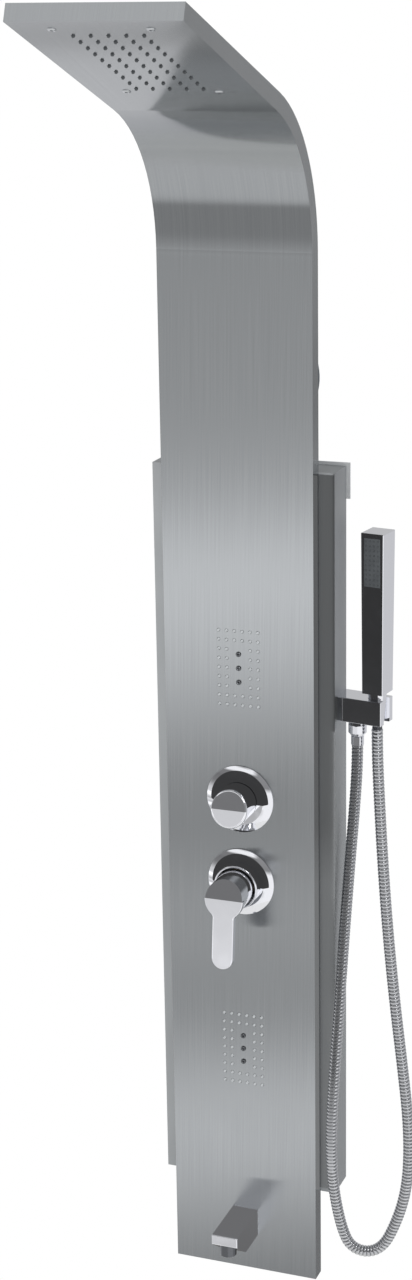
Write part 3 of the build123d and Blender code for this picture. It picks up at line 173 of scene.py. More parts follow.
def brushed(name, dark, light, low, high):
    """304 sheet, belt brushed along its length: a satin grey mirror with upright streaks."""
    material, tree, shader = start_material(name, Metallic=1.0, Anisotropic=0.95)
    normal = add(tree, "ShaderNodeNewGeometry").outputs["Normal"]
    place = add(tree, "ShaderNodeTexCoord").outputs["Object"]
    across = add(tree, "ShaderNodeVectorMath", {0: UPWARDS, 1: normal}, operation="CROSS_PRODUCT")
    tangent = add(tree, "ShaderNodeVectorMath", {0: across.outputs[0]}, operation="NORMALIZE").outputs[0]
    sideways = add(tree, "ShaderNodeVectorMath", {0: place, 1: tangent}, operation="DOT_PRODUCT")
    height = add(tree, "ShaderNodeSeparateXYZ", {0: place}).outputs["Z"]
    grain = add(tree, "ShaderNodeCombineXYZ", {"X": sideways.outputs["Value"], "Z": height})
    fine = add(tree, "ShaderNodeMapping",
               {"Vector": grain.outputs[0], "Scale": (1 / STREAK, 1, 1 / STREAK_LENGTH)})
    streaks = add(tree, "ShaderNodeTexNoise",
                  {"Vector": fine.outputs[0], "Scale": 1.0, "Detail": 3.0, "Roughness": 0.6})
    clouds = add(tree, "ShaderNodeTexNoise", {"Vector": place, "Scale": 1 / CLOUD, "Detail": 2.0})
    tone = add(tree, "ShaderNodeMix", {
        0: streaks.outputs["Fac"], MIX_A: colour(dark), MIX_B: colour(light),
    }, data_type="RGBA")
    wiped = add(tree, "ShaderNodeMapRange", {"Value": clouds.outputs["Fac"], "To Min": low, "To Max": high})
    rough = add(tree, "ShaderNodeMath",
                {0: streaks.outputs["Fac"], 1: STREAK_ROUGH, 2: wiped.outputs[0]}, operation="MULTIPLY_ADD")
    bump = add(tree, "ShaderNodeBump",
               {"Strength": 0.12, "Distance": STREAK_DEPTH, "Height": streaks.outputs["Fac"]})
    tree.links.new(tone.outputs[MIX_OUT], shader.inputs["Base Color"])
    tree.links.new(rough.outputs[0], shader.inputs["Roughness"])
    tree.links.new(bump.outputs[0], shader.inputs["Normal"])
    tree.links.new(tangent, shader.inputs["Tangent"])
    return material


finishes = {
    "brushed_stainless": brushed("stainless_304_brushed", "#9A9DA0", "#AFB2B4", 0.13, 0.17),
    "box_stainless": brushed("stainless_304_dull", "#AEB1B3", "#BABDBF", 0.3, 0.4),
}
print("made", [finish.name for finish in finishes.values()])

# %% [markdown]
# ## Chrome
# Knob, lever, spout, holder and hand shower are brass or zinc castings with mirror chrome. Chrome has no
# colour of its own beyond a faint blue, so its look comes from what it reflects. Two things keep it from
# looking computed: water marks that dull it a little in soft patches, and the slight waviness of a
# polished casting.

# %% Chrome
MARK = 14 * MM
MARK_FROM = 0.4       # noise levels between which a water mark dulls the plating
MARK_TO = 0.75
WAVE = 30 * MM
WAVE_DEPTH = 0.4 * MM


def chrome(name, tone, shine, dull):
    """Mirror plating: almost no roughness, with faint water marks and a polished waviness."""
    material, tree, shader = start_material(name, Metallic=1.0, Base_Color=colour(tone))
    place = add(tree, "ShaderNodeTexCoord").outputs["Object"]
    marks = add(tree, "ShaderNodeTexNoise", {"Vector": place, "Scale": 1 / MARK, "Detail": 4.0})
    rough = add(tree, "ShaderNodeMapRange", {
        "Value": marks.outputs["Fac"], "From Min": MARK_FROM, "From Max": MARK_TO,
        "To Min": shine, "To Max": dull,
    })
    waves = add(tree, "ShaderNodeTexNoise", {"Vector": place, "Scale": 1 / WAVE, "Detail": 0.0})
    bump = add(tree, "ShaderNodeBump",
               {"Strength": 0.08, "Distance": WAVE_DEPTH, "Height": waves.outputs["Fac"]})
    tree.links.new(rough.outputs[0], shader.inputs["Roughness"])
    tree.links.new(bump.outputs[0], shader.inputs["Normal"])
    return material


finishes["chrome"] = chrome("chrome_on_brass", "#F2F3F8", 0.035, 0.1)
finishes["nozzle_chrome"] = chrome("chrome_black_nickel", "#6E7074", 0.12, 0.22)
print("made", [finishes[key].name for key in ("chrome", "nozzle_chrome")])

# %% [markdown]
# ## Machined and plated metal
# The pieces inside the box are brass turned from bar, and zinc plated steel. Neither is polished, and
# close up both show a mottle of two tones. The stainless screws have the same, only finer. One function
# takes the tones, the grain and the roughness.

# %% Machined and plated metal
MOTTLE_DEPTH = 0.1 * MM


def dull_metal(name, dark, light, grain, low, high, metallic=1.0):
    """Unpolished metal with a mottle of two tones. A chalky plating is less metallic."""
    material, tree, shader = start_material(name, Metallic=metallic)
    place = add(tree, "ShaderNodeTexCoord").outputs["Object"]
    mottle = add(tree, "ShaderNodeTexNoise", {"Vector": place, "Scale": 1 / grain, "Detail": 5.0})
    tone = add(tree, "ShaderNodeMix", {
        0: mottle.outputs["Fac"], MIX_A: colour(dark), MIX_B: colour(light),
    }, data_type="RGBA")
    rough = add(tree, "ShaderNodeMapRange", {"Value": mottle.outputs["Fac"], "To Min": low, "To Max": high})
    bump = add(tree, "ShaderNodeBump",
               {"Strength": 0.2, "Distance": MOTTLE_DEPTH, "Height": mottle.outputs["Fac"]})
    tree.links.new(tone.outputs[MIX_OUT], shader.inputs["Base Color"])
    tree.links.new(rough.outputs[0], shader.inputs["Roughness"])
    tree.links.new(bump.outputs[0], shader.inputs["Normal"])
    return material


finishes["brass"] = dull_metal("brass_machined", "#B08A45", "#D6B56E", 4 * MM, 0.22, 0.38)
finishes["plated_steel"] = dull_metal("steel_zinc_plated", "#CFD2D4", "#E2E4E5", 7 * MM, 0.45, 0.6, 0.35)
finishes["screw_steel"] = dull_metal("stainless_a2_turned", "#B4B7BA", "#D2D4D6", 2 * MM, 0.16, 0.26)
print("made", [finishes[key].name for key in ("brass", "plated_steel", "screw_steel")])

# %% [markdown]
# ## Silicone, rubber and plastic
# The nozzle tips are moulded silicone, so that scale can be rubbed off. The inner hoses are smooth
# rubber, the water chambers moulded ABS. All are dielectrics: a colour, a soft gloss and a fine moulded
# texture. They differ in colour, roughness and the size of that texture.

# %% Silicone, rubber and plastic
def moulded(name, dark, light, grain, low, high, depth):
    """Moulded or extruded polymer: two close tones, a soft gloss and a fine surface texture."""
    material, tree, shader = start_material(name, IOR=1.45)
    place = add(tree, "ShaderNodeTexCoord").outputs["Object"]
    texture = add(tree, "ShaderNodeTexNoise", {"Vector": place, "Scale": 1 / grain, "Detail": 4.0})
    broad = add(tree, "ShaderNodeTexNoise", {"Vector": place, "Scale": 0.1 / grain, "Detail": 2.0})
    tone = add(tree, "ShaderNodeMix", {
        0: broad.outputs["Fac"], MIX_A: colour(dark), MIX_B: colour(light),
    }, data_type="RGBA")
    rough = add(tree, "ShaderNodeMapRange", {"Value": broad.outputs["Fac"], "To Min": low, "To Max": high})
    bump = add(tree, "ShaderNodeBump",
               {"Strength": 0.25, "Distance": depth, "Height": texture.outputs["Fac"]})
    tree.links.new(tone.outputs[MIX_OUT], shader.inputs["Base Color"])
    tree.links.new(rough.outputs[0], shader.inputs["Roughness"])
    tree.links.new(bump.outputs[0], shader.inputs["Normal"])
    return material


polymers = (
    ("dark_silicone", "silicone_dark_grey", "#4A4D50", "#606467", 1.5 * MM, 0.2, 0.3, 0.02 * MM),
    ("pale_silicone", "silicone_pale_grey", "#C9CDD0", "#E2E5E7", 1.5 * MM, 0.22, 0.34, 0.02 * MM),
    ("feed_hose", "hose_epdm_slate", "#3F454B", "#535A61", 2.5 * MM, 0.3, 0.42, 0.04 * MM),
    ("black_rubber", "rubber_black", "#141415", "#202123", 1.2 * MM, 0.45, 0.6, 0.05 * MM),
    ("grey_plastic", "abs_moulded_grey", "#8C8F92", "#A0A3A6", 1.0 * MM, 0.4, 0.52, 0.03 * MM),
)
for slot, *look in polymers:
    finishes[slot] = moulded(*look)
    print("made", finishes[slot].name)

# %% [markdown]
# ## Stainless strip of the hose
# The hose is wound from a polished stainless strip whose edges lock into each other. Its crests are
# bright. The mesh carries a value called groove, which is 1 at the bottom of a groove, and the finish
# darkens and dulls the metal with it: the darker grooves are painted shade, with a little dirt.

# %% Stainless strip of the hose
HOSE_WEAR = 9 * MM       # size of the more or less worn patches


def hose_strip():
    """Polished stainless strip, wound: bright crests, and grooves darkened by painted shade and a little
    dirt, and dulled.
    """
    material, tree, shader = start_material("stainless_strip_wound", Metallic=1.0)
    groove = add(tree, "ShaderNodeAttribute", attribute_name="groove").outputs["Fac"]
    place = add(tree, "ShaderNodeTexCoord").outputs["Object"]
    wear = add(tree, "ShaderNodeTexNoise", {"Vector": place, "Scale": 1 / HOSE_WEAR, "Detail": 3.0})
    bright = add(tree, "ShaderNodeMix", {
        0: wear.outputs["Fac"], MIX_A: colour("#C2C4C8"), MIX_B: colour("#DCDDE0"),
    }, data_type="RGBA")
    # the dark grey that the groove value mixes in is painted shade in the grooves, with a little dirt
    tone = add(tree, "ShaderNodeMix", {
        0: groove, MIX_A: bright.outputs[MIX_OUT], MIX_B: colour("#6C6E72"),
    }, data_type="RGBA")
    rough = add(tree, "ShaderNodeMapRange", {"Value": groove, "To Min": 0.1, "To Max": 0.4})
    tree.links.new(tone.outputs[MIX_OUT], shader.inputs["Base Color"])
    tree.links.new(rough.outputs[0], shader.inputs["Roughness"])
    return material


finishes["steel_hose"] = hose_strip()
print("made", finishes["steel_hose"].name)

# %% [markdown]
# ## Every CAD node gets its finish
# The record names a material slot for each node. One loop puts the finishes on all of them. The nodes
# that get a more detailed mesh below are hidden later, and their replacement takes the same finish.

# %% Finishes on the CAD nodes
for row in frame["record"]["subparts"]:
    mesh = nodes[row["node"]].data
    mesh.materials.clear()
    mesh.materials.append(finishes[row["material_slot"]])

# %% [markdown]
# ## The hose's route
# The hose hangs in one narrow loop from the outlet nut to the conical nut under the hand shower. A NURBS
# spline with listed control points gives a smooth line, as a stiff metal hose takes. Order and end
# points are set after the points are added, because before that they have no effect.

# %% The hose's route
HOSE_ROUTE = [
    (0.142753, -0.024326, 0.1486),
    (0.142753, -0.024326, 0.1106),
    (0.1395, -0.0265, 0.0500),
    (0.1353, -0.0330, -0.0230),
    (0.1322, -0.0450, -0.1100),
    (0.1302, -0.0610, -0.2050),
    (0.1285, -0.0770, -0.2950),
    (0.1268, -0.0865, -0.3750),
    (0.1278, -0.0885, -0.4350),
    (0.1330, -0.0875, -0.4810),
    (0.1415, -0.0860, -0.5220),
    (0.1520, -0.0835, -0.5480),
    (0.1745, -0.0790, -0.5560),
    (0.1955, -0.0745, -0.5450),
    (0.2100, -0.0715, -0.5130),
    (0.2220, -0.0685, -0.4730),
    (0.2275, -0.0675, -0.4270),
    (0.2255, -0.0640, -0.3630),
    (0.2160, -0.0605, -0.2880),
    (0.2035, -0.0565, -0.1980),
    (0.1920, -0.0510, -0.1030),
    (0.1825, -0.0435, -0.0100),
    (0.1750, -0.0350, 0.0720),
    (0.169951, -0.028390, 0.1350),
    (0.169951, -0.028390, 0.1730),
]
route_curve = bpy.data.curves.new("hose_route", "CURVE")
route_curve.dimensions = "3D"
spline = route_curve.splines.new("NURBS")
spline.points.add(len(HOSE_ROUTE) - 1)
for point, place in zip(spline.points, HOSE_ROUTE):
    point.co = (*place, 1.0)
spline.order_u = 3
spline.use_endpoint_u = True
spline.resolution_u = 24
route = bpy.data.objects.new("hose_route", route_curve)
scene.collection.objects.link(route)
route_line = bpy.data.meshes.new_from_object(route)
hose_path = [vertex.co.copy() for vertex in route_line.vertices]
hose_length = sum((b - a).length for a, b in zip(hose_path, hose_path[1:]))
print("hose length:", round(hose_length, 3), "m from", len(hose_path), "points")

# %% [markdown]
# ## Helpers for spun pieces
# Hose, nozzles, screws and aerator are round, as if turned on a lathe. A profile of a few points, spun
# round an axis, gives such a shape in one step. A second helper puts the result of an object's modifiers
# in its mesh, so that what they depend on can go.

# %% Helpers for spun pieces
MERGE = 0.001 * MM    # vertices that are nearer than this become one


def spun(bm, profile, steps):
    """Spins a profile of (radius, height) points round Z and gives back the new vertices."""
    before = set(bm.verts)
    verts = [bm.verts.new((radius, 0, height)) for radius, height in profile]
    edges = [bm.edges.new(pair) for pair in zip(verts, verts[1:])]
    bmesh.ops.spin(bm, geom=verts + edges, axis=(0, 0, 1), angle=math.tau, steps=steps, use_merge=True)
    return [vert for vert in bm.verts if vert not in before]


def keep_modifiers(obj):
    """Puts the result of an object's modifiers in its mesh."""
    depsgraph = bpy.context.evaluated_depsgraph_get()
    done = bpy.data.meshes.new_from_object(
        obj.evaluated_get(depsgraph), preserve_all_data_layers=True, depsgraph=depsgraph)
    obj.modifiers.clear()
    obj.data = done


print("helpers for spun pieces are ready")

# %% [markdown]
# ## The ribbed hose
# The whole hose is one profile, spun while it is still straight: a plain end, the ribs, another plain
# end, and back through the bore. Each vertex keeps a value for how deep in a groove it lies, which the
# finish reads.

# %% The ribbed hose
HOSE_R = 7.5 * MM
HOSE_VALLEY_R = 6.4 * MM
HOSE_BORE_R = 5.0 * MM
HOSE_PLAIN = 11 * MM
HOSE_STEPS = 16
RIB_PITCH = 4.8 * MM  # about 3.4 mm on the real hose, drawn coarser so that the ribs show
RIB_PROFILE = [(0.0, 0.0), (0.1, 0.5), (0.27, 0.9), (0.5, 1.0), (0.73, 0.9), (0.9, 0.5)]

ribs = round((hose_length - 2 * HOSE_PLAIN) / RIB_PITCH)
pitch = (hose_length - 2 * HOSE_PLAIN) / ribs
relief = HOSE_R - HOSE_VALLEY_R
outer = [(HOSE_VALLEY_R, 0.0)]
for rib in range(ribs):
    outer += [
        (HOSE_VALLEY_R + rise * relief, HOSE_PLAIN + (rib + along) * pitch) for along, rise in RIB_PROFILE
    ]
outer += [(HOSE_VALLEY_R, hose_length - HOSE_PLAIN), (HOSE_VALLEY_R, hose_length)]
bore = [(HOSE_BORE_R, hose_length * (1 - step / ribs)) for step in range(ribs + 1)]
bm = bmesh.new()
spun(bm, outer + bore + outer[:1], HOSE_STEPS)
bmesh.ops.remove_doubles(bm, verts=bm.verts, dist=MERGE)
bmesh.ops.recalc_face_normals(bm, faces=bm.faces)
hose_mesh = bpy.data.meshes.new("shower_hose")
bm.to_mesh(hose_mesh)
bm.free()
hose = bpy.data.objects.new("shower_hose_ribbed", hose_mesh)
scene.collection.objects.link(hose)
groove = hose_mesh.attributes.new("groove", "FLOAT", "POINT")
depths = [1 - (vertex.co.xy.length - HOSE_VALLEY_R) / relief for vertex in hose_mesh.vertices]
groove.data.foreach_set("value", [min(1.0, max(0.0, depth)) for depth in depths])
print("hose:", ribs, "ribs at", round(pitch / MM, 2), "mm")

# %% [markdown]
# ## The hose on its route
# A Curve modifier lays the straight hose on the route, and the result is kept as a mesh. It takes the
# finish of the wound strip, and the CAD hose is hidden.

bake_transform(hose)
follow = hose.modifiers.new("route", "CURVE")
follow.object = route
follow.deform_axis = "POS_Z"
keep_modifiers(hose)
bpy.data.objects.remove(route)
hose.data.materials.append(finishes["steel_hose"])
hose.data.shade_smooth()
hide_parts("shower_hose")
print("hose has", len(hose.data.polygons), "faces")

# %% [markdown]
# ## A helper for pieces
# Every new piece ends in the same way: doubles merged, normals turned outwards, smooth faces with sharp
# edges kept, a finish, and a body of the frame to ride on. Its place is in its mesh, and its object stays
# at the origin.

# %% A helper for pieces
SHARP = math.radians(38)


def make_piece(name, bm, slot, body, *stands_for):
    """Turns a bmesh into a piece with a finish, which rides on a body and stands for CAD nodes."""
    bmesh.ops.remove_doubles(bm, verts=bm.verts, dist=MERGE)
    bmesh.ops.recalc_face_normals(bm, faces=bm.faces)
    mesh = bpy.data.meshes.new(name)
    bm.to_mesh(mesh)
    bm.free()
    mesh.materials.append(finishes[slot])
    mesh.shade_smooth()
    mesh.set_sharp_from_angle(angle=SHARP)
    obj = bpy.data.objects.new(name, mesh)
    scene.collection.objects.link(obj)
    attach(obj, body)
    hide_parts(*stands_for)
    print(name, "has", len(mesh.polygons), "faces")


def slab(bm, low, high, bevel):
    """A flat block between two corners with bevelled edges."""
    size = Vector(high) - Vector(low)
    middle = (Vector(high) + Vector(low)) / 2
    matrix = Matrix.Translation(middle) @ Matrix.Diagonal((*size, 1.0))
    made = bmesh.ops.create_cube(bm, size=1.0, matrix=matrix)
    edges = {edge for vert in made["verts"] for edge in vert.link_edges}
    bmesh.ops.bevel(
        bm, geom=list(edges), offset=bevel, segments=2, profile=0.5, affect="EDGES", material=-1)


print("helpers for pieces are ready")

# %% [markdown]
# ## Helpers for nozzles
# The tips of the rain head, the nubs round the body jets and the tips of the hand shower stand in regular
# grids. They share one form: a tapered wall, a rounded rim and a small bore that goes in only a little
# way, because no more of it shows.

# %% Helpers for nozzles
def grid_points(columns, rows, pitch_x, pitch_y):
    """Centres of a regular grid round the origin."""
    return [
        ((column - (columns - 1) / 2) * pitch_x, (row - (rows - 1) / 2) * pitch_y)
        for row in range(rows) for column in range(columns)
    ]


def tip_profile(root, end, height, bore):
    """Profile of a moulded nozzle: foot, tapered wall, rounded rim and a blind bore."""
    rim = (end - bore) / 2
    return [
        (root, 0.0), (end, height - rim), (end - 0.3 * rim, height - 0.3 * rim), (end - rim, height),
        (bore + 0.3 * rim, height - 0.3 * rim), (bore, height - rim), (0.6 * bore, height - 3 * rim),
        (0.0, height - 3.2 * rim),
    ]


print("helpers for nozzles are ready")

# %% [markdown]
# ## Rain nozzles
# Fifty silicone tips come through the holes of the head. On the real mat they are round, with a small
# bore and a rounded rim, and a thumb can rub them clean. A spun profile gives all of that in one step.
# They are modelled in the head's own frame, which climbs towards the room, and moved there as one.

# %% Rain nozzles
HEAD_RISE = math.radians(20.7)
LIP = 20 * MM
SHEET = 1.5 * MM
MAT = 2.0 * MM
MAT_EDGE = 0.3 * MM
RAIN_COLUMNS = 5
RAIN_ROWS = 10
RAIN_PITCH = 20 * MM
RAIN_FIRST_ROW = 45 * MM
RAIN_MAT_WIDTH = 130 * MM
RAIN_MAT_FRONT = 31 * MM
RAIN_MAT_REAR = 20 * MM
TIP_ROOT_R = 2.2 * MM
TIP_END_R = 1.7 * MM
TIP_BORE_R = 0.7 * MM
TIP_SHOW = 2.0 * MM
TIP_STEPS = 16

panel_low, panel_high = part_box("front_panel")
head_tip = Vector((0, panel_low.y, panel_high.z - LIP * math.cos(HEAD_RISE)))
head_frame = Matrix.Translation(head_tip) @ Matrix.Rotation(-HEAD_RISE, 4, "X")
rows_middle = RAIN_FIRST_ROW + (RAIN_ROWS - 1) * RAIN_PITCH / 2
rows_end = RAIN_FIRST_ROW + (RAIN_ROWS - 1) * RAIN_PITCH
bm = bmesh.new()
slab(bm, (-RAIN_MAT_WIDTH / 2, RAIN_FIRST_ROW - RAIN_MAT_FRONT, SHEET),
     (RAIN_MAT_WIDTH / 2, rows_end + RAIN_MAT_REAR, SHEET + MAT), MAT_EDGE)
for x, y in grid_points(RAIN_COLUMNS, RAIN_ROWS, RAIN_PITCH, RAIN_PITCH):
    tip = spun(bm, tip_profile(TIP_ROOT_R, TIP_END_R, SHEET + TIP_SHOW, TIP_BORE_R), TIP_STEPS)
    place = Matrix.Translation((x, y + rows_middle, SHEET)) @ Matrix.Rotation(math.pi, 4, "X")
    bmesh.ops.transform(bm, matrix=place, verts=tip)
bmesh.ops.transform(bm, matrix=head_frame, verts=bm.verts)
make_piece("rain_nozzle_tips", bm, "dark_silicone", "column", "rain_nozzle_mat")

# %% [markdown]
# ## Body jets
# Each group has a border of small pale nubs round three larger jets. The mats lie behind the sheet, so
# only the nubs show. The CAD box of each mat says where the group sits, and the panel's frame turns the
# work upright: its third axis points out of the panel.

# %% Body jets
JET_COLUMNS = 6
JET_ROWS = 9
JET_BORDER = 2
JET_PITCH_X = 10.5 * MM
JET_PITCH_Z = 12.2 * MM
NUB_ROOT_R = 2.0 * MM
NUB_END_R = 1.5 * MM
NUB_BORE_R = 0.6 * MM
NUB_SHOW = 1.8 * MM
CENTRE_JETS = 3
CENTRE_JET_PITCH = 18.5 * MM
CENTRE_JET_R = 3.2 * MM
CENTRE_JET_SHOW = 2.0 * MM
CENTRE_JET_BORE_R = 1.1 * MM
CENTRE_JET_EDGE = 0.5 * MM

panel_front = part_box("upper_jet_mat")[0].y + NUB_SHOW
bare_x = (JET_COLUMNS / 2 - JET_BORDER) * JET_PITCH_X
bare_z = (JET_ROWS / 2 - JET_BORDER) * JET_PITCH_Z
nub_points = [
    (x, z) for x, z in grid_points(JET_COLUMNS, JET_ROWS, JET_PITCH_X, JET_PITCH_Z)
    if abs(x) > bare_x or abs(z) > bare_z
]
jet_profile = [
    (CENTRE_JET_R, -SHEET - MAT), (CENTRE_JET_R, CENTRE_JET_SHOW - CENTRE_JET_EDGE),
    (CENTRE_JET_R - CENTRE_JET_EDGE, CENTRE_JET_SHOW),
    (CENTRE_JET_BORE_R + 2 * CENTRE_JET_EDGE, CENTRE_JET_SHOW),
    (CENTRE_JET_BORE_R + CENTRE_JET_EDGE, CENTRE_JET_SHOW - CENTRE_JET_EDGE),
    (CENTRE_JET_BORE_R, CENTRE_JET_SHOW - CENTRE_JET_EDGE), (CENTRE_JET_BORE_R, -SHEET), (0.0, -SHEET),
]


def panel_frame(height):
    """Frame on the panel's front: X to the right, Y up, Z out of the panel."""
    return Matrix.Translation((0, panel_front, height)) @ Matrix.Rotation(math.pi / 2, 4, "X")


for group in ("upper", "lower"):
    low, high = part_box(group + "_jet_mat")
    half_width = (high.x - low.x) / 2
    half_height = (high.z - low.z) / 2
    frame_here = panel_frame((low.z + high.z) / 2)
    bm = bmesh.new()
    slab(bm, (-half_width, -half_height, -SHEET - MAT), (half_width, half_height, -SHEET), MAT_EDGE)
    for x, z in nub_points:
        nub = spun(bm, tip_profile(NUB_ROOT_R, NUB_END_R, SHEET + NUB_SHOW, NUB_BORE_R), TIP_STEPS)
        bmesh.ops.translate(bm, vec=(x, z, -SHEET), verts=nub)
    bmesh.ops.transform(bm, matrix=frame_here, verts=bm.verts)
    make_piece(group + "_jet_nubs", bm, "pale_silicone", "column", group + "_jet_mat")
    bm = bmesh.new()
    for x, z in grid_points(1, CENTRE_JETS, 0, CENTRE_JET_PITCH):
        jet = spun(bm, jet_profile, 2 * TIP_STEPS)
        bmesh.ops.translate(bm, vec=(x, z, 0), verts=jet)
    bmesh.ops.transform(bm, matrix=frame_here, verts=bm.verts)
    make_piece(group + "_jet_turned", bm, "nozzle_chrome", "column", group + "_jet_nozzles")

# %% [markdown]
# ## Spray face of the hand shower
# The hand shower has its own small field of nozzles in a rubber face near the top. The face turns with
# the hand shower, so it rides on that body. Its frame is the seat of the holder, turned a little towards
# the room.

# %% Spray face of the hand shower
HOLDER_TURN = math.radians(8.5)
SPRAY_COLUMNS = 4
SPRAY_ROWS = 10
SPRAY_WIDTH = 22 * MM
SPRAY_HEIGHT = 62 * MM
SPRAY_DEPTH = 4 * MM
SPRAY_EDGE = 0.4 * MM
SPRAY_TIP_R = 1.1 * MM
SPRAY_SHOW = 0.8 * MM
HANDSET_TOP_DEPTH = 34 * MM

seat_middle = (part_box("cone_nut")[0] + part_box("cone_nut")[1]) / 2
spray_low, spray_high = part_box("handset_spray_face")
spray_middle = (spray_low.z + spray_high.z) / 2
seat_place = Matrix.Translation((seat_middle.x, seat_middle.y, spray_middle))
seat_frame = seat_place @ Matrix.Rotation(-HOLDER_TURN, 4, "Z")
spray_front = -HANDSET_TOP_DEPTH / 2
bm = bmesh.new()
slab(bm, (-SPRAY_WIDTH / 2, spray_front, -SPRAY_HEIGHT / 2),
     (SPRAY_WIDTH / 2, spray_front + SPRAY_DEPTH, SPRAY_HEIGHT / 2), SPRAY_EDGE)
for x, z in grid_points(SPRAY_COLUMNS, SPRAY_ROWS, SPRAY_WIDTH / SPRAY_COLUMNS, SPRAY_HEIGHT / SPRAY_ROWS):
    tip = spun(bm, tip_profile(SPRAY_TIP_R, 0.8 * SPRAY_TIP_R, SPRAY_SHOW, 0.4 * SPRAY_TIP_R), TIP_STEPS)
    place = Matrix.Translation((x, spray_front, z)) @ Matrix.Rotation(math.pi / 2, 4, "X")
    bmesh.ops.transform(bm, matrix=place, verts=tip)
bmesh.ops.transform(bm, matrix=seat_frame, verts=bm.verts)
make_piece("handset_spray_tips", bm, "dark_silicone", "hand_shower", "handset_spray_face")

# %% [markdown]
# ## Screws
# The heads on the rain head are low domes with a hexagon socket. A spun profile makes the dome and a
# round socket, and the socket's wall is then drawn in to a hexagon, vertex by vertex.

# %% Screws
SCREW_STEPS = 24
SCREW_DOME = [(1.0, 0.0), (1.0, 0.2), (0.93, 0.5), (0.78, 0.8), (0.6, 0.96)]   # shares of radius and height
SOCKET_SHARE = 0.42
SHANK_EDGE = 0.3 * MM
FIXING_HEAD_R = 5.0 * MM
FIXING_HEAD = 1.6 * MM
FIXING_R = 2.5 * MM
FIXING_SPACING_X = 111 * MM
FIXING_INSET = 10.5 * MM
CHAMBER_HEIGHT = 12 * MM
CHAMBER_ROOF = 2.5 * MM


def socket_screw(bm, head_r, head, shank_r, shank, place):
    """Domed screw along Z: its head rises from the origin, its shank goes down."""
    socket = SOCKET_SHARE * head_r
    stem = [(0.0, -shank), (shank_r - SHANK_EDGE, -shank), (shank_r, SHANK_EDGE - shank), (shank_r, 0.0)]
    dome = [(share * head_r, rise * head) for share, rise in SCREW_DOME]
    well = [(1.2 * socket, head), (socket, 0.94 * head), (socket, 0.25 * head), (0.0, 0.2 * head)]
    made = spun(bm, stem + dome + well, SCREW_STEPS)
    for vert in made:
        radius = vert.co.xy.length
        if vert.co.z > 0.1 * head and 0.5 * socket < radius < 1.05 * socket:
            turn = math.atan2(vert.co.y, vert.co.x) % (math.pi / 3) - math.pi / 6
            vert.co.xy *= math.cos(math.pi / 6) / math.cos(turn) * socket / radius
    bmesh.ops.transform(bm, matrix=place, verts=made)


mat_start = RAIN_FIRST_ROW - RAIN_MAT_FRONT
mat_stop = rows_end + RAIN_MAT_REAR
fixing_spacing_y = mat_stop - mat_start - 2 * FIXING_INSET
fixing_length = SHEET + MAT + CHAMBER_HEIGHT - 2 * CHAMBER_ROOF
face_down = Matrix.Rotation(math.pi, 4, "X")
bm = bmesh.new()
for x, y in grid_points(2, 2, FIXING_SPACING_X, fixing_spacing_y):
    place = head_frame @ Matrix.Translation((x, y + (mat_start + mat_stop) / 2, 0)) @ face_down
    socket_screw(bm, FIXING_HEAD_R, FIXING_HEAD, FIXING_R, fixing_length, place)
make_piece("rain_head_screws", bm, "screw_steel", "column", "rain_chamber_screws")

# %% [markdown]
# ## Aerator
# The aerator sits in the nose of the spout. It is a chromed ring with a fine grid inside its mouth, which
# mixes air into the water. The ring is spun. The grid is a flat grid of faces, inset one by one, with the
# middles deleted and the rest given a thickness.

# %% Aerator
AERATOR_WALL = 2.0 * MM
AERATOR_RECESS = 2.0 * MM
AERATOR_EDGE = 0.5 * MM
MOUTH_EDGE = 0.4 * MM
AERATOR_STEPS = 48
GRID_CELLS = 12
GRID_BAR = 0.22 * MM
GRID_THICK = 0.6 * MM
GRID_MARGIN = 0.5 * MM    # a cell nearer than this to the mouth's wall is left out

low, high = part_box("spout_aerator")
aerator_r = (high.x - low.x) / 2
aerator_height = high.z - low.z
mouth_r = aerator_r - AERATOR_WALL
bm = bmesh.new()
ring = [
    (0.0, aerator_height), (aerator_r, aerator_height), (aerator_r, AERATOR_EDGE),
    (aerator_r - AERATOR_EDGE, 0.0), (mouth_r + MOUTH_EDGE, 0.0), (mouth_r, MOUTH_EDGE),
    (mouth_r, 2 * AERATOR_RECESS), (0.0, 2 * AERATOR_RECESS),
]
spun(bm, ring, AERATOR_STEPS)
cells = bmesh.ops.create_grid(bm, x_segments=GRID_CELLS, y_segments=GRID_CELLS, size=mouth_r)
faces = list({face for vert in cells["verts"] for face in vert.link_faces})
outside = [face for face in faces if face.calc_center_median().length > mouth_r - GRID_MARGIN]
bmesh.ops.delete(bm, geom=outside, context="FACES")
kept = [face for face in faces if face.is_valid]
bmesh.ops.inset_individual(bm, faces=kept, thickness=GRID_BAR)
bmesh.ops.delete(bm, geom=kept, context="FACES_ONLY")
level_faces = [face for face in bm.faces if abs(face.calc_center_median().z) < MERGE]
bars = [face for face in level_faces if face.calc_center_median().length < mouth_r]
solid = bmesh.ops.solidify(bm, geom=bars, thickness=GRID_THICK)
bars += [item for item in solid["geom"] if isinstance(item, bmesh.types.BMFace)]
grid_verts = {vert for face in bars if face.is_valid for vert in face.verts}
bmesh.ops.translate(bm, vec=(0, 0, AERATOR_RECESS), verts=list(grid_verts))
bmesh.ops.translate(bm, vec=((low.x + high.x) / 2, (low.y + high.y) / 2, low.z), verts=bm.verts)
make_piece("spout_aerator_grid", bm, "nozzle_chrome", "column", "spout_aerator")

# %% [markdown]
# ## Floor
# The column hangs on a wall, so nothing stands on the floor. It is a plain pale disc well below the
# column, and keeps a soft shadow. The camera sees it almost as white as the background, by a mix that
# asks whether a ray comes from the camera.

# %% Floor
FLOOR_DROP = 0.8       # below the column
FLOOR_R = 1.1
FLOOR_STEPS = 96
FLOOR_WHITE = 0.85     # how far the camera sees the floor as white as the background

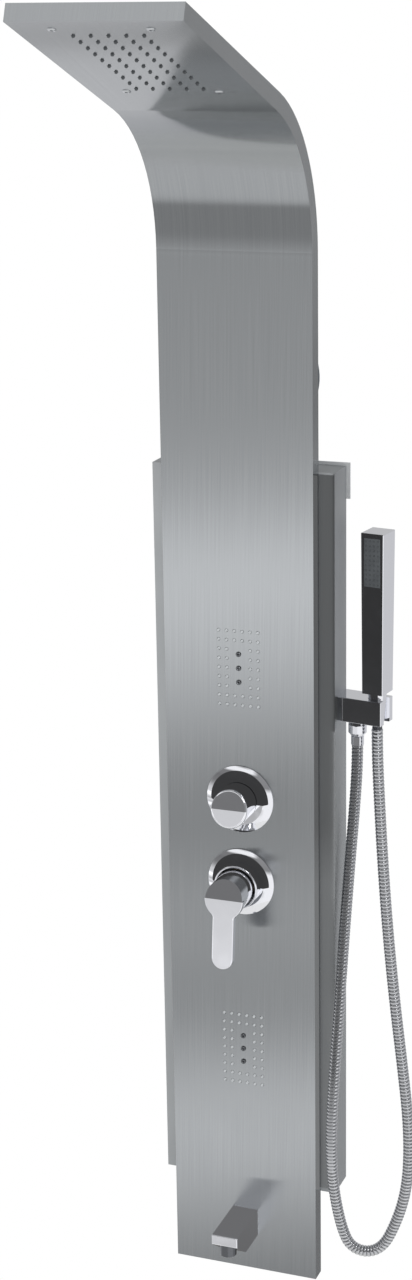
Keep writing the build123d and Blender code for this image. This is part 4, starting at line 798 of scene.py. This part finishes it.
floor_material, tree, floor_shader = start_material(
    "floor_pale", Base_Color=colour("#F1F1EF"), Roughness=0.9)
camera_sees = add(tree, "ShaderNodeLightPath").outputs["Is Camera Ray"]
share = add(tree, "ShaderNodeMath", {0: camera_sees, 1: FLOOR_WHITE}, operation="MULTIPLY")
white = add(tree, "ShaderNodeEmission", {"Color": (1, 1, 1, 1), "Strength": 1.0})
floor_look = add(tree, "ShaderNodeMixShader",
                 {0: share.outputs[0], 1: floor_shader.outputs[0], 2: white.outputs[0]})
tree.links.new(floor_look.outputs[0], tree.nodes["Material Output"].inputs["Surface"])
bm = bmesh.new()
bmesh.ops.create_circle(bm, cap_ends=True, segments=FLOOR_STEPS, radius=FLOOR_R,
                        matrix=Matrix.Translation((0, 0, cad_box[0].z - FLOOR_DROP)))
floor_mesh = bpy.data.meshes.new("floor")
bm.to_mesh(floor_mesh)
bm.free()
floor_mesh.materials.append(floor_material)
floor = bpy.data.objects.new("floor", floor_mesh)
scene.collection.objects.link(floor)
print("floor at", round(cad_box[0].z - FLOOR_DROP, 3), "m")

# %% [markdown]
# ## Studio
# The background is white for the camera. Polished metal shows the room round it, so rays that come from a
# reflection see a plain studio: light and dark bands in front of the column, a pale wall to its right,
# and a plain grey behind it. A ramp over the height of a ray's direction makes bands, and a mix along an
# axis joins two skies.

# %% Helpers for the studio
world = bpy.data.worlds.new("studio")
scene.world = world
world.use_nodes = True
tree = world.node_tree
tree.nodes.clear()
heading = add(tree, "ShaderNodeSeparateXYZ", {0: add(tree, "ShaderNodeTexCoord").outputs["Generated"]})
height = add(tree, "ShaderNodeMapRange", {"Value": heading.outputs["Z"], "From Min": -1.0}).outputs[0]


def bands(levels):
    """A ramp over the height of the sky from stops: sine of the elevation and light level."""
    ramp = add(tree, "ShaderNodeValToRGB", {"Fac": height})
    stops = ramp.color_ramp.elements
    for sine, level in levels[1:-1]:
        stops.new((sine + 1) / 2).color = (level, level, level, 1.0)
    for stop, (_, level) in ((stops[0], levels[0]), (stops[-1], levels[-1])):
        stop.color = (level, level, level, 1.0)
    return ramp.outputs["Color"]


def grey_light(level):
    """A plain grey of a light level, a little bluer than neutral."""
    return (level, level, 1.02 * level, 1.0)


def part_of_sky(axis, start, stop, inside, outside):
    """Mixes two skies along an axis: one up to a start, the other from a stop on."""
    share = add(tree, "ShaderNodeMapRange",
                {"Value": heading.outputs[axis], "From Min": start, "From Max": stop})
    return add(tree, "ShaderNodeMix", {0: share.outputs[0], MIX_A: inside, MIX_B: outside},
               data_type="RGBA").outputs[MIX_OUT]


print("helpers for the studio are ready")

# %% [markdown]
# ## The studio's light
# The levels were found by comparing the flat panel with the photograph from top to bottom. The panel is
# upright and flat, so each height on it mirrors one elevation of the room. Other rays see an even soft
# light.

# %% The studio's light
STUDIO_FRONT = [      # sine of the elevation and light level
    (-1.0, 0.9), (-0.68, 0.9), (-0.62, 0.66), (-0.53, 0.42), (-0.51, 0.5), (-0.48, 1.2), (-0.455, 1.2),
    (-0.425, 0.5), (-0.385, 0.83), (-0.35, 0.43), (-0.32, 0.74), (-0.295, 1.08), (-0.265, 1.38),
    (-0.245, 1.42), (-0.22, 0.8), (-0.19, 0.67), (-0.12, 0.64), (0.0, 0.3), (0.08, 0.2), (0.26, 0.17),
    (0.34, 0.2), (0.45, 0.2), (0.52, 0.95), (0.64, 0.95), (0.72, 0.15), (1.0, 0.5),
]
STUDIO_RIGHT = [(-1.0, 0.95), (-0.05, 0.95), (0.1, 0.25), (1.0, 0.3)]
STUDIO_BACK = [
    (-1.0, 0.3), (-0.5, 0.13), (-0.44, 0.16), (-0.37, 0.64), (-0.27, 0.62), (-0.19, 0.18), (-0.12, 0.36),
    (0.04, 0.42), (0.15, 0.53), (1.0, 0.53),
]
BEHIND_LEVEL = 0.85                  # straight behind the column, below its middle
WALL_LEVEL = 0.6                     # wall to the right and behind
SOFT_LIGHT = 0.9
FRONT_TO_RIGHT = (0.1, 0.3)          # directions between which one sky turns into the next, as sines
BEHIND_TO_ABOVE = (-0.05, 0.2)
BEHIND_TO_BACK = (0.12, 0.26)
BACK_TO_WALL = (0.4, 0.52)
FRONT_TO_BACK = (-0.1, 0.15)

front = part_of_sky("X", *FRONT_TO_RIGHT, bands(STUDIO_FRONT), bands(STUDIO_RIGHT))
behind = part_of_sky("Z", *BEHIND_TO_ABOVE, grey_light(BEHIND_LEVEL), bands(STUDIO_BACK))
back = part_of_sky("X", *BEHIND_TO_BACK, behind, bands(STUDIO_BACK))
back = part_of_sky("X", *BACK_TO_WALL, back, grey_light(WALL_LEVEL))
around = part_of_sky("Y", *FRONT_TO_BACK, front, back)
path = add(tree, "ShaderNodeLightPath")
mirrored = add(tree, "ShaderNodeMath", {
    0: path.outputs["Is Glossy Ray"], 1: path.outputs["Is Transmission Ray"],
}, operation="MAXIMUM")
soft = add(tree, "ShaderNodeBackground", {"Color": (1, 1, 1, 1), "Strength": SOFT_LIGHT})
room = add(tree, "ShaderNodeBackground", {"Color": around, "Strength": 1.0})
white = add(tree, "ShaderNodeBackground", {"Color": (1, 1, 1, 1), "Strength": 1.0})
lit = add(tree, "ShaderNodeMixShader", {0: mirrored.outputs[0], 1: soft.outputs[0], 2: room.outputs[0]})
seen = add(tree, "ShaderNodeMixShader", {
    0: path.outputs["Is Camera Ray"], 1: lit.outputs[0], 2: white.outputs[0],
})
add(tree, "ShaderNodeOutputWorld", {"Surface": seen.outputs[0]})
scene.view_settings.view_transform = "Standard"
print("studio with", len(STUDIO_FRONT), "stops in front")

# %% [markdown]
# ## Shapes for cards
# Photographers hold a grey card close to a mirror that shows too much of the room. Three shapes are
# needed here: a sheet, a part of a disc for the wall plates, and a strip for the hose. A grid, a circle
# that is cut off, and an edge drawn along a route give them.

# %% Shapes for cards
CARD_STEPS = 96       # round a disc
UPRIGHT = Matrix.Rotation(math.pi / 2, 4, "X")


def sheet(width, height):
    """An upright rectangle, from the middle of its bottom edge."""
    bm = bmesh.new()
    raised = Matrix.Translation((0, 0, height / 2)) @ UPRIGHT @ Matrix.Diagonal((width, height, 1, 1))
    bmesh.ops.create_grid(bm, x_segments=1, y_segments=1, size=0.5, matrix=raised)
    return bm


def part_of_disc(radius, low):
    """The part of an upright disc above a height."""
    bm = bmesh.new()
    bmesh.ops.create_circle(bm, cap_ends=True, segments=CARD_STEPS, radius=radius, matrix=UPRIGHT)
    disc = bm.verts[:] + bm.edges[:] + bm.faces[:]
    bmesh.ops.bisect_plane(bm, geom=disc, plane_co=(0, 0, low), plane_no=(0, 0, -1), clear_outer=True)
    return bm


def strip(route, half_width, forward):
    """A strip held in front of a route that runs down to the strip's place."""
    bm = bmesh.new()
    start = Vector(route[0]) - Vector((0, forward, route[-1][2]))
    edge = bm.edges.new([bm.verts.new(start + Vector((side, 0, 0))) for side in (-half_width, half_width)])
    for here, there in zip(route, route[1:]):
        made = bmesh.ops.extrude_edge_only(bm, edges=[edge])["geom"]
        edge = next(item for item in made if isinstance(item, bmesh.types.BMEdge))
        bmesh.ops.translate(bm, vec=Vector(there) - Vector(here), verts=edge.verts[:])
    return bm


print("shapes for cards are ready")

# %% [markdown]
# ## A helper for cards
# A card glows at a level, which may change over a height. It is in the way of reflections only: the
# camera doesn't see it, and it throws no shadow. One that is clear from behind isn't seen by what lies
# behind it, by a mix with a transparent shader.

# %% A helper for cards
def card(name, bm, place, low_level, level, fade, clear_back=0.0):
    """An upright card that only reflections see. Its level changes over a height above its place."""
    material = bpy.data.materials.new(name)
    material.use_nodes = True
    tree = material.node_tree
    tree.nodes.clear()
    here = add(tree, "ShaderNodeSeparateXYZ", {0: add(tree, "ShaderNodeTexCoord").outputs["Object"]})
    grey = add(tree, "ShaderNodeMapRange",
               {"Value": here.outputs["Z"], "From Max": fade, "To Min": low_level, "To Max": level})
    glow = add(tree, "ShaderNodeEmission", {"Color": (1, 1, 1, 1), "Strength": grey.outputs[0]})
    behind_it = add(tree, "ShaderNodeNewGeometry").outputs["Backfacing"]
    clear = add(tree, "ShaderNodeMath", {0: behind_it, 1: clear_back}, operation="MULTIPLY")
    look = add(tree, "ShaderNodeMixShader", {
        0: clear.outputs[0], 1: glow.outputs[0], 2: add(tree, "ShaderNodeBsdfTransparent").outputs[0],
    })
    add(tree, "ShaderNodeOutputMaterial", {"Surface": look.outputs[0]})
    mesh = bpy.data.meshes.new(name)
    bm.to_mesh(mesh)
    bm.free()
    mesh.materials.append(material)
    obj = bpy.data.objects.new(name, mesh)
    obj.location = place
    scene.collection.objects.link(obj)
    for rays in ("camera", "diffuse", "transmission", "volume_scatter", "shadow"):
        setattr(obj, "visible_" + rays, False)
    print(name, "at", tuple(round(v, 4) for v in place))


print("the helper for cards is ready")

# %% [markdown]
# ## Cards before the panel
# The bend squeezes the whole room into a few centimetres and would show every band of the studio as a
# line. A grey card before it gives one calm dark band, lighter where the bend runs out into the flat
# panel. The wall plates get a dark upper half. The spout would show the panel, so a card darkens it,
# clear from behind so that the panel itself doesn't show it.

# %% Cards before the panel
CARD_GAP = 1.5 * MM           # from the panel or a wall plate
BEND_CARD_GAP = 50 * MM
BEND_CARD_FOOT = 751.5 * MM
BEND_CARD_WIDTH = 900 * MM
BEND_CARD_HEIGHT = 32 * MM
PLATE_CARD_R = 44.5 * MM
PLATE_CARD_LOW = -2 * MM
PLATE_CARD_SHIFT = 2.2 * MM   # to the left and down
SPOUT_CARD_WIDTH = 160 * MM
SPOUT_CARD_HEIGHT = 155 * MM

card("bend_card", sheet(BEND_CARD_WIDTH, BEND_CARD_HEIGHT),
     (0, panel_front - BEND_CARD_GAP, BEND_CARD_FOOT), low_level=0.66, level=0.43, fade=15 * MM)
for piece in ("diverter", "mixer"):
    low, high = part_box(piece + "_plate")
    middle = (low + high) / 2
    place = (middle.x - PLATE_CARD_SHIFT, low.y - CARD_GAP, middle.z - PLATE_CARD_SHIFT)
    card(piece + "_card", part_of_disc(PLATE_CARD_R, PLATE_CARD_LOW), place,
         low_level=0.045, level=0.045, fade=10 * MM)
card("spout_card", sheet(SPOUT_CARD_WIDTH, SPOUT_CARD_HEIGHT), (0, panel_front - CARD_GAP, panel_low.z),
     low_level=0.14, level=0.16, fade=100 * MM, clear_back=1.0)

# %% [markdown]
# ## Cards on the right
# Narrow dark cards close to the hand shower, the box's right wing and the hose give these their dark
# sides, as in the photograph. The wing has two, one of them for its lighter lower part. The card for the
# hose follows the first stretch of its route.

# %% Cards on the right
BOX_CARD_GAP = 3.5 * MM
BOX_CARD_INSET = 3 * MM       # from the box's top and foot
BOX_CARD_LEFT = 0.3 * MM      # from the panel's edge
BOX_CARD_RIGHT = 1 * MM       # from the box's edge
BOX_CARD_SPLIT = -50 * MM
HAND_CARD_GAP = 3.4 * MM
HAND_CARD_LEFT = 118.8 * MM
HAND_CARD_RIGHT = 180 * MM
HAND_CARD_FOOT = 158 * MM
HOSE_CARD_STOP = 8            # index of the route's point where the card ends
HOSE_CARD_HALF = 12 * MM
HOSE_CARD_GAP = 12.5 * MM

box_low, box_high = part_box("back_box")
wing_left = panel_high.x + BOX_CARD_LEFT
wing_right = box_high.x - BOX_CARD_RIGHT
wing_middle = (wing_left + wing_right) / 2
wing_foot = box_low.z + BOX_CARD_INSET
wing_top = box_high.z - BOX_CARD_INSET
wing_y = box_low.y - BOX_CARD_GAP
card("box_card_low", sheet(wing_right - wing_left, BOX_CARD_SPLIT - wing_foot),
     (wing_middle, wing_y, wing_foot), low_level=0.38, level=0.36, fade=400 * MM)
card("box_card_high", sheet(wing_right - wing_left, wing_top - BOX_CARD_SPLIT),
     (wing_middle, wing_y, BOX_CARD_SPLIT), low_level=0.36, level=0.23, fade=80 * MM)
hand_middle = (HAND_CARD_LEFT + HAND_CARD_RIGHT) / 2
card("hand_shower_card", sheet(HAND_CARD_RIGHT - HAND_CARD_LEFT, box_high.z - HAND_CARD_FOOT),
     (hand_middle, box_low.y - HAND_CARD_GAP, HAND_CARD_FOOT), low_level=0.045, level=0.035, fade=100 * MM)
hose_stretch = HOSE_ROUTE[:HOSE_CARD_STOP + 1]
card("hose_card", strip(hose_stretch, HOSE_CARD_HALF, HOSE_CARD_GAP), (0, 0, hose_stretch[-1][2]),
     low_level=0.8, level=0.2, fade=140 * MM)

# %% [markdown]
# ## Lamp
# One large softbox to the right, above and in front, as in a product studio. It gives the soft shadow on
# the floor and the small white highlights on the round chrome pieces.

# %% Lamp
LAMP_PLACE = Vector((1.5, -1.6, 2.3))
LAMP_TARGET = Vector((0, 0, 0.1))
LAMP_SIZE = 0.8
LAMP_POWER = 14

lamp_data = bpy.data.lights.new("softbox", "AREA")
lamp_data.size = LAMP_SIZE
lamp_data.energy = LAMP_POWER
lamp = bpy.data.objects.new("softbox", lamp_data)
aim = (LAMP_TARGET - LAMP_PLACE).to_track_quat("-Z", "Y").to_matrix().to_4x4()
lamp.matrix_world = Matrix.Translation(LAMP_PLACE) @ aim
scene.collection.objects.link(lamp)
print("softbox of", LAMP_SIZE, "m at", tuple(LAMP_PLACE))
